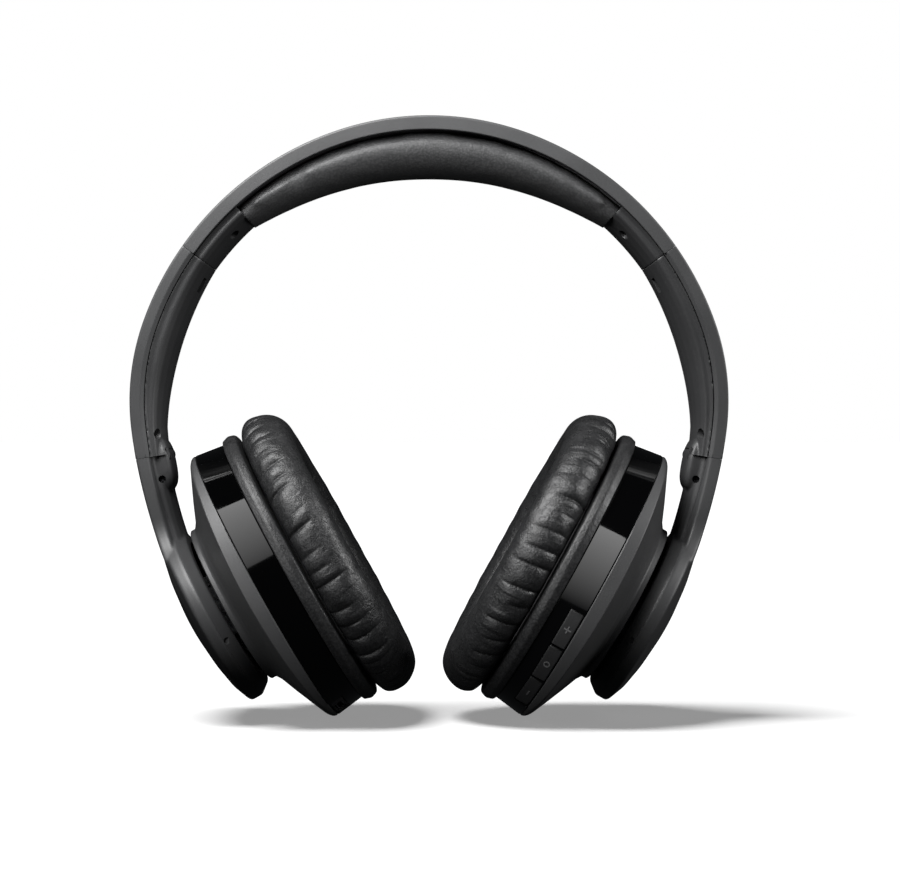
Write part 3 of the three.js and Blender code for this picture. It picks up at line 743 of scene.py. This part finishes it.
def simulate(obj, voxel, pressure, cap, pinned, levels):
    """Inflates a soft cover with cloth, holding some points and capping travel."""
    remesh = obj.modifiers.new("even", "REMESH")
    remesh.mode = "VOXEL"
    remesh.voxel_size = voxel * MM
    bake_modifiers(obj)
    rest = [v.co.copy() for v in obj.data.vertices]
    group = obj.vertex_groups.new(name="held")
    group.add([i for i, co in enumerate(rest) if pinned(co / MM)], 1.0, "REPLACE")
    cloth = obj.modifiers.new("cloth", "CLOTH")
    settings = cloth.settings
    settings.use_pressure = True
    settings.uniform_pressure_force = pressure
    settings.vertex_group_mass = "held"
    settings.effector_weights.gravity = 0
    settings.quality = 4
    settings.tension_stiffness = 25
    settings.compression_stiffness = 25
    settings.bending_stiffness = 1.5
    cloth.point_cache.frame_start = 1
    cloth.point_cache.frame_end = CLOTH_FRAMES
    scene = bpy.context.scene
    for step in range(1, CLOTH_FRAMES + 1):
        scene.frame_set(step)
    graph = bpy.context.evaluated_depsgraph_get()
    moved = [v.co.copy() for v in obj.evaluated_get(graph).data.vertices]
    obj.modifiers.clear()
    obj.vertex_groups.clear()
    scene.frame_set(1)
    for vertex, start, end in zip(obj.data.vertices, rest, moved):
        travel = end - start
        if travel.length > cap * MM:
            travel *= cap * MM / travel.length
        vertex.co = start + travel
    fair = obj.modifiers.new("fair", "SMOOTH")
    fair.factor = 0.5
    fair.iterations = 4
    fine = obj.modifiers.new("fine", "SUBSURF")
    fine.levels = fine.render_levels = levels
    return bake_modifiers(obj)


def pad_underside(angle):
    spread = min(1.0, abs(angle) / PAD_END)
    return PAD_END_DEPTH + (PAD_DEPTH - PAD_END_DEPTH) * math.cos(math.pi / 2 * spread) ** 0.75


def build_head_pad():
    """The head pad: a rounded roll that thins to its ends and tucks in above."""
    top = SHELL_DEPTH + 0.2
    half = [
        (0.0, 0.0), (11.8, 0.0), (13.7, 0.03), (14.9, 0.13), (15.4, 0.28), (15.4, 0.44),
        (14.8, 0.61), (13.2, 0.77), (10.4, 0.895), (6.0, 0.97), (0.0, 1.0),
    ]
    section = rounded([(x, y, 0.0) for x, y in mirrored_section(half)])

    def fit(across, share, angle):
        return across * 0.985, top + (pad_underside(angle) - 0.25 - top) * share

    pad = sweep("head_pad", section, -PAD_END - 2.5, PAD_END + 2.5, 94, fit)

    def held(point):
        radius, _, x, z = ARCS[1]
        near_end = abs(point.x) > abs(band_point(PAD_END, 8, 0).x) - 5
        depth = CROWN_HEIGHT - point.z if abs(point.x) < 5 else radius - math.hypot(
            point.x + math.copysign(x, point.x), point.z - z)
        return near_end or depth < top + 1.2

    simulate(pad, 3.0, 3.0, 0.5, held, 2)
    for sign in (-1, 1):
        boolean(pad, [slab(sign * (PAD_END - PAD_GAP_ANGLE), sign * (PAD_END + 9), 40, 8)])
    pad.name = "head_pad_cover"
    smooth(pad, 180, weighted=False)
    finish_piece(pad, "headband", PAD_LEATHER, ["headband_pad"])


# ---- arms, yokes

def pin_point(across):
    return band_point(HINGE_SEAM, PIN_DEPTH, across)


def barrel(radius, start, end, sides=64):
    return cylinder("barrel", pin_point(start), pin_point(end), radius, sides)


def hump(start, end, half):
    """The smooth swelling of the cover's inside over the fold pin."""
    floor = SHELL_DEPTH + 1.2

    def fit(across, share, angle):
        away = angle - HUMP_MIDDLE
        off = min(1.0, abs(away) / HUMP_REACH[away > 0])
        rise = (1 - off ** (3.4 if away > 0 else 2.2)) ** 0.5
        top = 6.8 + (HUMP_TOP - 6.8) * rise
        return across * half * (0.6 + 0.4 * rise), floor + (top - floor) * share

    section = rounded([(1, 0, 0), (1, 0.7, 0.05), (0.9, 0.95, 0.1), (0.6, 1, 0.2),
                       (-0.6, 1, 0.2), (-0.9, 0.95, 0.1), (-1, 0.7, 0.05), (-1, 0, 0)], 4)
    return sweep("hump", section, start, end, 40, fit)


def cheek_rooms():
    """Room in the arm's hood for the yoke's cheeks as they fold inwards."""
    pin = pin_point(0)
    inward = (band_point(HINGE_SEAM, 12, 0) - pin).normalized()
    upward = Vector((-inward.z, 0, inward.x))
    if upward.z < 0:
        upward.negate()
    rooms = []
    for side in (-1, 1):
        near, far = sorted((side * EAR_HALF_WIDTH, side * (CHEEK_HALF_WIDTH + 0.06)))
        flat = [Vector((0, 0, 0))] + [
            (inward * math.cos(math.radians(a)) + upward * math.sin(math.radians(a))) * FOLD_ROOM
            for a in np.linspace(-1, 52, 14)
        ]
        corners = [pin + p + Vector((0, y, 0)) for y in (near, far) for p in flat]
        rooms.append(orient(make_mesh("room", corners, tube_faces(2, len(flat)))))
    return rooms


def build_arms():
    top, end = SLIDER_SEAM + SLIDER_GAP_ANGLE, HINGE_SEAM - HINGE_GAP_ANGLE
    shell = sweep("arm_shell", ARM_SHELL_SECTION, top, end, 90, fit_shell)
    soften(shell, 0.12, 50)
    both_sides(smooth(shell), "arm_shell_finish", "arm", CASING, ["arm_shell"])

    cover = blended("arm_cover", [
        sweep("cover", COVER_SECTION, top, end + 0.4, 90, fit_cover),
        hump(HUMP_MIDDLE - HUMP_REACH[0], end + 0.4, HOOD_HALF_WIDTH),
    ], 0.32, 3)
    boolean(cover, [slab(end, end + 6)])
    slot = KNUCKLE_HALF_WIDTH + 0.07
    ears = [barrel(BARREL_RADIUS, side * slot, side * EAR_HALF_WIDTH) for side in (-1, 1)]
    boolean(cover, ears, "UNION")
    boolean(cover, [barrel(FOLD_ROOM, -slot, slot)] + cheek_rooms())
    marks = [
        sweep("mark", [(a, 9.0), (a, 14.0), (a + 2.6, 14.0), (a + 2.6, 9.0)], 57.3, 60.6, 6)
        for a in (-7.4, 4.8)         # shallow slots on the arm's inner face
    ]
    boolean(cover, marks)
    boolean(cover, [screw_hole(ARM_SCREW_ANGLE, s) for s in (-1, 1)])
    both_sides(smooth(cover, 40), "arm_cover_finish", "arm", COVER, ["arm_cover"])


def neck_half_width(angle):
    """The hinge's width, then a round flare into the disc."""
    fillet = 16.0
    radius = next(arc for arc in ARCS if abs(angle) <= arc[1])[0]
    travel = math.radians(angle - HINGE_SEAM) * radius
    centre_across = HINGE_HALF_WIDTH + fillet
    start = 52 - math.sqrt((DISC_RADIUS + fillet) ** 2 - centre_across ** 2)
    past = min(max(0.0, travel - start), fillet * 0.75)
    return centre_across - math.sqrt(fillet ** 2 - past ** 2)


def fit_neck(across, depth, angle):
    depth = fit_cover(across, depth, angle)[1] if depth > SHELL_DEPTH else depth
    if depth > 6:
        past = min(1.0, max(0.0, (angle - HINGE_SEAM) / 3))
        depth = 6 + (depth - 6) * (1 - 0.2 * past)
    wide = across * neck_half_width(angle) / BAND_HALF_WIDTH
    share = (angle - HINGE_SEAM) / (NECK_END - HINGE_SEAM)
    return wide, depth + share * wide ** 2 / (2 * DISC_SPHERE)


def build_yokes():
    start = HINGE_SEAM + HINGE_GAP_ANGLE
    whole_section = rounded(mirrored_section([
        (0.0, 0.0, 0.0), (W, 0.0, 0.9), (W, 3.7, 1.1), (W - 3.2, 4.8, 1.2),
        (W - 4.2, 6.8, 1.6), (W - 6.6, 8.8, 2.6), (4.8, 10.5, 4.0), (0.0, COVER_RIDGE, 0.0),
    ]))
    rim = DISC_RADIUS
    disc_profile = rounded([
        (0.0, DISC_LIP, 0), (rim - 2.7, DISC_LIP, 0.7), (rim, dome_height(rim, 4.0), 1.7),
        (rim, dome_height(rim, 0.6), 1.0),
        (rim - 4.5, dome_height(rim - 4.5), 2.0), (18, dome_height(18), 4),
        (9, dome_height(9), 4), (0.0, DISC_CROWN, 0),
    ])
    body = blended("yoke", [
        sweep("neck", whole_section, start - 0.3, NECK_END, 40, fit_neck),
        lathe("disc", disc_profile, 128),
        hump(start - 0.3, HUMP_MIDDLE + HUMP_REACH[1], CHEEK_HALF_WIDTH),
    ], 0.36, 4)
    boolean(body, [slab(start - 6, start)])
    boolean(body, [barrel(FOLD_ROOM, s * KNUCKLE_HALF_WIDTH, s * (EAR_HALF_WIDTH + 0.05))
                   for s in (-1, 1)])
    boolean(body, [barrel(BARREL_RADIUS, -KNUCKLE_HALF_WIDTH, KNUCKLE_HALF_WIDTH)], "UNION")
    floor = [(r, dome_height(r, 2.2)) for r in (0, POCKET_RADIUS)]
    boolean(body, [lathe("pocket", floor + [(POCKET_RADIUS, 0), (0, 0)], 96)])
    boolean(body, [screw_hole(YOKE_SCREW_ANGLE, s) for s in (-1, 1)])
    for s in (-1, 1):
        at, into = (CUP_FRAME @ Vector((-8.0, -30.0, s * r)) for r in (rim + 3, rim - 2.6))
        boolean(body, [cylinder("hole", at, into, 1.0)])

    def seam_tool(depth):
        """Everything outside the seam between the yoke's shell and its cover."""
        def follow(across, deep, angle):
            share = max(0, (angle - HINGE_SEAM) / (NECK_END - HINGE_SEAM))
            crown = share * min(across * across, 400) / (2 * DISC_SPHERE)
            return across, deep + crown if deep > 0 else deep

        section = [(60, -9), (60, depth), (-60, depth), (-60, -9)]
        neck = sweep("neck_tool", section, start - 3, 111.0, 24, follow)
        curve = [(r, dome_height(r, depth)) for r in (29, 20, 10, 0)]
        dome = lathe("dome", [(0, -60), (60, -60), (60, -30.5 + depth)] + curve, 96)
        return boolean(neck, [dome], "UNION")

    outer = copy_object(body, "yoke_outer")
    boolean(outer, [seam_tool(SHELL_DEPTH)], "INTERSECT")
    boolean(body, [seam_tool(SHELL_DEPTH + 0.04)])
    both_sides(smooth(outer, 40), "yoke_shell_finish", "yoke", CASING, ["yoke_shell"])
    both_sides(smooth(body, 40), "yoke_cover_finish", "yoke", COVER, ["yoke_cover"])


# ---- cups

HUB_RADIUS = 25.2
SIDE_RADIUS = 44.2
DOME_LINE = [(HUB_RADIUS, -24.15), (32.9, -20.9), (38.2, -18.5), (44.6, -15.55)]


def dome_surface(radius):
    """Height of the round dome at a distance from the cup's axis."""
    for (r0, h0), (r1, h1) in zip(DOME_LINE, DOME_LINE[1:]):
        if radius <= r1 or r1 == DOME_LINE[-1][0]:
            return h0 + (h1 - h0) * (radius - r0) / (r1 - r0)


def build_back_shells():
    """A round shallow dome cut off by the cup's oval side, with the pivot's hub."""
    segments, rings = 240, 14
    wall = 2.0
    vertices = []
    for i in range(segments):
        turn = 2 * math.pi * i / segments
        edge = Vector((SIDE_RADIUS * math.cos(turn), 0, SIDE_RADIUS * CUP_RATIO * math.sin(turn)))
        reach, way = edge.length, edge.normalized()
        crease = dome_surface(reach)
        bend = 0.3 + 2.0 * abs(math.cos(turn)) ** 10
        line = [(0, -25.9), (22.6, -25.9), (22.6, -26.35), (24.9, -26.35), (HUB_RADIUS, -26.1),
                (HUB_RADIUS, -25.0), (HUB_RADIUS + 0.25, -24.5)]
        for k in range(1, rings + 1):
            radius = HUB_RADIUS + 0.9 + (reach - bend - HUB_RADIUS - 0.9) * k / rings
            line.append((radius, dome_surface(radius)))
        for k in range(1, 6):
            u = k / 5
            line.append((reach - bend * (1 - u) ** 2,
                         (1 - u) ** 2 * dome_surface(reach - bend) + 2 * u * (1 - u) * crease
                         + u * u * (crease + min(1.2, bend))))
        line += [(reach - 0.08, -14.35),
                 (reach - 0.2, -14.1), (reach - wall, -14.1)]
        for k in range(rings, 0, -1):
            radius = HUB_RADIUS + (reach - wall - 0.3 - HUB_RADIUS) * k / rings
            line.append((radius, min(-14.3, dome_surface(radius) + wall)))
        line.append((0, -23.6))
        vertices += [CUP_FRAME @ (way * radius + Vector((0, height, 0))) for radius, height in line]
    shell = make_mesh("back_shell", vertices, tube_faces(segments, len(line), closed=True))
    merge_vertices(shell)
    orient(shell)
    lugs = [block("lug", (low, -30.9, -3), (low + 3.0, -25.0, 3), CUP_FRAME)
            for low in (-11.2, 8.2)]
    for lug in lugs:
        soften(lug, 0.5, 40, 3)
    boolean(shell, lugs, "UNION")
    both_sides(smooth(shell, 24), "back_shell_finish", "cup", DOME, ["back_shell"])


WALL_OUTER = 43.2
WALL_INNER = 41.2
KEY_HEIGHTS = (-13.75, -9.4)
KEY_MIDDLE = sum(KEY_HEIGHTS) / 2
KEYS_AT = [("volume_up", 63.3, 79.6), ("play", 45.2, 62.7), ("volume_down", 23.9, 44.6)]
PORT_AT = (5.0, 27.0)


def wall_patch(name, span, heights, radii, front, grow=0.0, steps=24):
    """A curved block of the oval wall; angles run up from its bottom end."""
    vertices = []
    spread = math.degrees(grow / WALL_OUTER)
    inner, outer = radii
    low, high = heights[0] - grow, heights[1] + grow
    for i in range(steps + 1):
        turn = math.radians(span[0] - spread + (span[1] - span[0] + 2 * spread) * i / steps)
        for radius, height in ((inner, low), (outer, low), (outer, high), (inner, high)):
            local = Vector((-radius * math.cos(turn), height,
                            front * radius * CUP_RATIO * math.sin(turn)))
            vertices.append(CUP_FRAME @ local)
    return orient(make_mesh(name, vertices, tube_faces(steps + 1, 4)))


def wall_frame(angle, height, front):
    """A frame on the wall: X outwards, Y along the wall, Z across the cup."""
    turn = math.radians(angle)
    place = Vector((-WALL_OUTER * math.cos(turn), height,
                    front * WALL_OUTER * CUP_RATIO * math.sin(turn)))
    out = Vector((-math.cos(turn), 0, front * math.sin(turn) / CUP_RATIO)).normalized()
    up = Vector((0, 1, 0))
    return CUP_FRAME @ axes_frame(out, up.cross(out), up, place)


def key_symbol(name, frame_at):
    """The engraved sign of a key: a plus, a ring or a minus."""
    if name == "play":
        outer, core = (
            cylinder("ring", frame_at @ Vector((a, 0, 0)), frame_at @ Vector((b, 0, 0)), radius, 40)
            for a, b, radius in ((0.15, 0.9, 1.0), (0.0, 1.2, 0.62))
        )
        return [boolean(outer, [core])]
    bars = [block("bar", (0.15, -1.15, -0.2), (0.9, 1.15, 0.2), frame_at)]
    if name == "volume_up":
        bars.append(block("bar", (0.15, -0.2, -1.15), (0.9, 0.2, 1.15), frame_at))
    return bars


def build_walls():
    profile = rounded([(WALL_INNER, -13.9, 0.2), (WALL_OUTER + 1.0, -13.9, 0.2),
                       (WALL_OUTER - 0.2, -5.15, 0.2), (WALL_INNER, -5.15, 0.2)])
    for side in SIDES:
        ring = lathe(f"{side}_side_ring_finish", profile, 240, CUP_RATIO)
        spans, front = ([PORT_AT], -1) if side == "left" else ([key[1:] for key in KEYS_AT], 1)
        heights = (KEY_HEIGHTS[0] - 1, KEY_HEIGHTS[1])
        boolean(ring, [wall_patch("cut", span, heights, (39, 46), front, 0.22) for span in spans])
        soften(ring, 0.12, 50)
        if side == "right":
            ring.data.transform(HALF_TURN)
        finish_piece(smooth(ring), f"{side}_cup", GLOSS, [f"{side}_side_ring"])

    for name, low, high in KEYS_AT:
        key = wall_patch(f"{name}_key_finish", (low, high), KEY_HEIGHTS, (WALL_INNER, 43.55), 1)
        soften(key, 0.45, 50, 4)
        middle = wall_frame((low + high) / 2, KEY_MIDDLE, 1)
        sign = merged("sign", key_symbol(name, middle))
        boolean(key, [sign], keep=True)
        inlay = block(f"{name}_sign", (-2, -3, -3), (0.42, 3, 3), middle)
        boolean(inlay, [sign], "INTERSECT")
        inlay.data.transform(HALF_TURN)
        finish_piece(inlay, f"{name}_key", MARK)
        key.data.transform(HALF_TURN)
        finish_piece(smooth(key, 30), f"{name}_key", KEYS, [f"{name}_button"])

    panel = wall_patch("port_panel_finish", PORT_AT, KEY_HEIGHTS, (WALL_INNER, 43.5), -1)
    soften(panel, 0.45, 50, 4)
    middle = wall_frame(sum(PORT_AT) / 2, KEY_MIDDLE, -1)
    mouth = block("mouth", (-4, -4.5, -1.6), (3, 4.5, 1.6), middle)
    soften(mouth, 1.5, 40, 6)
    boolean(panel, [mouth])
    finish_piece(smooth(panel, 30), "left_cup", KEYS, ["port_panel"])


def build_pad_rings():
    """The leather lip wrapped over the rim, with the wrap's soft unevenness."""
    profile = rounded([
        (34.0, -2.9, 0.2), (42.6, -2.9, 0.1), (42.9, -4.9, 0.2), (44.0, -5.0, 0.8),
        (44.7, -2.8, 1.8), (43.9, -0.5, 1.4), (40.5, -0.2, 1.0), (34.0, -0.2, 0.2),
    ], 6)

    def uneven(local, turn, radius, height):
        ripple = noise.noise(Vector((math.cos(turn) * 9, math.sin(turn) * 9, height * 0.4)))
        swell = 1 + (0.0022 * ripple if radius > 41 else 0)
        return Vector((local.x * swell, local.y, local.z * swell))

    ring = lathe("pad_ring", profile, 280, CUP_RATIO, uneven)
    both_sides(smooth(ring, 60), "pad_ring_finish", "cup", FLANGE_LEATHER, ["pad_ring"])


PLEATS = 46


def pleat(obj, seed):
    """Gathers the cover's outer side: puffs between creases that fade upwards."""
    rng = np.random.default_rng(seed)
    pitch = 2 * math.pi / PLEATS
    place = pitch * (np.arange(PLEATS) + rng.uniform(-0.3, 0.3, PLEATS))
    depth = rng.uniform(0.9, 1.9, PLEATS) * rng.choice([0.45, 1.0, 1.0], PLEATS)
    reach = rng.uniform(8.5, 14.0, PLEATS)
    lean = rng.uniform(-0.3, 0.3, PLEATS)

    count = len(obj.data.vertices)
    flat = np.empty(count * 3)
    obj.data.vertices.foreach_get("co", flat)
    world = flat.reshape(-1, 3) / MM
    to_cup = np.array(CUP_FRAME.inverted())
    local = world @ to_cup[:3, :3].T + to_cup[:3, 3]
    across = local[:, 2] / CUP_RATIO
    radius = np.hypot(local[:, 0], across)
    height = local[:, 1]
    angle = np.arctan2(across, local[:, 0]) % (2 * math.pi)
    side = np.clip((radius - 37.5) / 5.5, 0, 1)

    turned = (angle - pitch * 0.25 * height / 12) % (2 * math.pi)
    after = np.searchsorted(place, turned) % PLEATS
    before = (after - 1) % PLEATS
    width = (place[after] - place[before]) % (2 * math.pi)
    share = ((turned - place[before]) % (2 * math.pi)) / width
    near = np.where(share < 0.5, before, after)
    limit = np.clip((reach[near] - height) / 6.0, 0, 1)
    fade = limit * limit * (3 - 2 * limit)
    pillow = np.clip(4 * share * (1 - share), 0, 1) ** (0.42 + 0.1 * lean[near])
    middle = (depth[before] * (1 - share) + depth[after] * share)
    valley = (1 - pillow) * middle * fade - 0.35 * pillow * fade
    spots = np.column_stack([angle * 46, height * 0.16, np.full(count, float(seed))])
    wrinkle = np.zeros(count)
    for i in np.flatnonzero(side > 0):
        spot = Vector(spots[i])
        wrinkle[i] = noise.noise(spot * 0.8) * 0.2 + noise.noise(spot * 1.9) * 0.06
    low = np.clip((14.0 - height) / 6, 0.1, 1)
    inward = (valley + wrinkle * low * (0.25 + 0.9 * (1 - pillow))) * side
    scale = (radius - inward) / np.maximum(radius, 1e-6)
    local[:, 0] *= scale
    local[:, 2] *= scale
    away = np.array(CUP_FRAME)
    moved = (local @ away[:3, :3].T + away[:3, 3]) * MM
    obj.data.vertices.foreach_set("co", moved.ravel())
    obj.data.update()


def build_cushions():
    """An oval ring of foam in a gathered cover: simulated, then pleated."""
    inner, outer, height = 28.5, 46.9, 15.2
    profile = rounded([
        (inner + 1.2, 0.1, 0.6), (outer - 3.2, 0.1, 1.2), (outer - 0.8, 2.8, 3.5),
        (outer - 0.2, 8.0, 4.0), (outer - 4.0, height - 0.2, 4.5), (inner + 5.5, height - 0.4, 4.5),
        (inner + 0.4, height - 4.0, 3.0), (inner + 0.2, 3.0, 2.0),
    ], 6)
    base = lathe("cushion", profile, 160, CUP_RATIO)
    back = CUP_FRAME.inverted()
    simulate(base, 3.2, 4.0, 0.9, lambda p: (back @ p).y < 1.4, 3)
    for side in SIDES:
        cushion = copy_object(base, f"{side}_ear_cushion_cover")
        pleat(cushion, 11 if side == "left" else 23)
        if side == "right":
            cushion.data.transform(HALF_TURN)
        smooth(cushion, 180, weighted=False)
        finish_piece(cushion, f"{side}_cup", CUSHION_LEATHER, [f"{side}_ear_cushion"])
    discard(base)


# ---- carried-over CAD pieces

CAD_FINISHES = {
    "headband_inner_frame": COVER, "crossover_cable": SLEEVE, "slider_strip": STEEL,
    "fold_pin": STEEL, "tilt_pin": STEEL, "swivel_pin": STEEL, "pivot_block": STEEL,
    "baffle": COVER, "driver_frame": COVER, "driver_magnet": STEEL, "acoustic_cloth": CLOTH,
    "charging_socket": STEEL, "battery": CELL, "main_board": BOARD,
}


def dress_cad_nodes():
    for name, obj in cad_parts.items():
        plain = name.removeprefix("left_").removeprefix("right_")
        finish = CAD_FINISHES.get(plain)
        if finish:
            obj.data.materials.clear()
            obj.data.materials.append(finish)


# ---- floor and light

def area_light(name, place, aim, size, power):
    data = bpy.data.lights.new(name, "AREA")
    data.shape = "RECTANGLE"
    data.size, data.size_y = size
    data.energy = power
    light = add_object(name, data)
    light.location = place
    light.rotation_euler = (Vector(aim) - Vector(place)).to_track_quat("-Z", "Y").to_euler()
    light.visible_camera = False
    return light


def lights_only(name, objects, *lights):
    """Light linking: these lights reach these objects only."""
    receivers = bpy.data.collections.new(name)
    for obj in objects:
        receivers.objects.link(obj)
    for light in lights:
        light.light_linking.receiver_collection = receivers


def graded(light, low, high):
    """Makes a softbox brighter towards its upper edge."""
    light.data.use_nodes = True
    tree = light.data.node_tree
    emission = tree.nodes["Emission"]
    geometry = tree.nodes.new("ShaderNodeNewGeometry")
    split = tree.nodes.new("ShaderNodeSeparateXYZ")
    spread = tree.nodes.new("ShaderNodeMapRange")
    tree.links.new(geometry.outputs["Parametric"], split.inputs["Vector"])
    tree.links.new(split.outputs["Y"], spread.inputs["Value"])
    spread.inputs["To Min"].default_value = low
    spread.inputs["To Max"].default_value = high
    tree.links.new(spread.outputs["Result"], emission.inputs["Strength"])


def build_paper():
    """White paper that glows a little and doesn't light the headphones."""
    reach = 40.0
    mesh = bpy.data.meshes.new("floor")
    corners = [(x * reach, y * reach, 0) for x, y in ((-1, -1), (1, -1), (1, 1), (-1, 1))]
    mesh.from_pydata(corners, [], [(0, 1, 2, 3)])
    floor = add_object("floor", mesh)
    floor.location.z = cad_box[0].z - 0.0004
    paper = Nodes("paper", (0.8, 0.8, 0.8), 0.9)
    paper.shader.inputs["Emission Color"].default_value = (1, 1, 1, 1)
    paper.shader.inputs["Emission Strength"].default_value = 0.28
    paper.shader.inputs["Specular IOR Level"].default_value = 0.0
    paper.into(paper.bump(paper.noise(300.0, 3.0), 0.0001, 0.2), "Normal")
    mesh.materials.append(paper.material)
    floor.visible_diffuse = False
    floor.visible_glossy = False
    return floor


def build_world():
    """White to the camera, and a nearly dark studio to everything else."""
    world = bpy.data.worlds.new("world")
    world.use_nodes = True
    tree = world.node_tree
    backdrop = tree.nodes["Background"]
    backdrop.inputs["Color"].default_value = (1, 1, 1, 1)
    backdrop.inputs["Strength"].default_value = 1.0
    studio = tree.nodes.new("ShaderNodeBackground")
    studio.inputs["Color"].default_value = (0.9, 0.95, 1, 1)
    studio.inputs["Strength"].default_value = 0.01
    path = tree.nodes.new("ShaderNodeLightPath")
    choose = tree.nodes.new("ShaderNodeMixShader")
    tree.links.new(path.outputs["Is Camera Ray"], choose.inputs["Fac"])
    tree.links.new(studio.outputs["Background"], choose.inputs[1])
    tree.links.new(backdrop.outputs["Background"], choose.inputs[2])
    tree.links.new(choose.outputs["Shader"], tree.nodes["World Output"].inputs["Surface"])
    bpy.context.scene.world = world
    bpy.context.scene.view_settings.view_transform = "Standard"


def light_walls():
    """A softbox for each gloss wall, placed where its reflection shows."""
    facing = Vector((-0.587, -0.70, 0.407)).normalized()
    centre = Vector((-0.137, -0.369, 0.030))
    right_box = area_light("right_wall_box", centre, centre - facing, (0.62, 0.54), 1.25)
    graded(right_box, 0.1, 2.6)
    left_box = area_light("left_wall_box", (-0.0975, -0.325, 0.163), (0, 0, 0), (0.34, 0.37), 0.5)
    upward = Vector((-0.348, 0.668, 0.655))
    upward = (upward - facing * upward.dot(facing)).normalized()
    left_box.rotation_euler = axes_frame(
        upward.cross(facing), upward, facing, centre).to_3x3().to_euler()
    graded(left_box, 0.55, 2.3)
    for side, light in (("right", right_box), ("left", left_box)):
        lights_only(f"{side}_wall", [bpy.data.objects[f"{side}_side_ring_finish"]], light)


def light_pieces(floor):
    """A key at the upper left with a near light for the band and one for the cups."""
    key = area_light("key", (-0.23, -0.20, 0.23), (-0.02, 0, -0.08), (0.5, 0.4), 1.2)
    near = area_light("near", (-0.12, -0.18, 0.17), (-0.03, 0, 0.0), (0.22, 0.22), 2.1)
    soft_near = area_light("soft_near", (-0.16, -0.21, 0.23), (-0.03, 0, 0.0), (0.32, 0.32), 2.1)
    fill = area_light("fill", (0.45, -0.16, 0.12), (-0.03, 0, -0.05), (0.25, 0.4), 1.9)
    low = area_light("low", (-0.22, -0.36, -0.06), (-0.02, 0, -0.11), (0.3, 0.3), 0.55)
    top = area_light("top", (-0.05, 0.15, 0.55), (0, 0, -0.05), (0.5, 0.3), 0.7)
    on_cups = ("cushion", "pad", "back_shell", "key", "sign", "port")
    matte = [obj for obj in bpy.data.objects
             if obj.type == "MESH" and obj is not floor and "side_ring" not in obj.name]
    cups = [obj for obj in matte if any(word in obj.name for word in on_cups)]
    lights_only("all_but_gloss", matte, key, fill, top)
    lights_only("cups_and_pad", cups, soft_near, low)
    lights_only("band", [obj for obj in matte if obj not in cups], near)


def build_stage():
    """White paper under a large softbox at the upper left, in a dark studio."""
    floor = build_paper()
    build_world()
    light_walls()
    light_pieces(floor)
    data = bpy.data.lights.new("paper_light", "SUN")
    data.energy = 3.7
    data.angle = math.radians(24)
    sun = add_object("paper_light", data)
    sun.rotation_euler = Vector((0.3, 0.1, -1.0)).to_track_quat("-Z", "Y").to_euler()
    lights_only("paper_only", [floor], sun)


# ---- build

build_camera()
build_headband()
build_head_pad()
build_screws(CAP_SCREW_ANGLE, "cap_screw", "headband")
build_screws(ARM_SCREW_ANGLE, "arm_screw", "arm")
build_screws(YOKE_SCREW_ANGLE, "yoke_screw", "yoke")
build_arms()
build_yokes()
build_back_shells()
build_walls()
build_pad_rings()
build_cushions()
dress_cad_nodes()
build_stage()
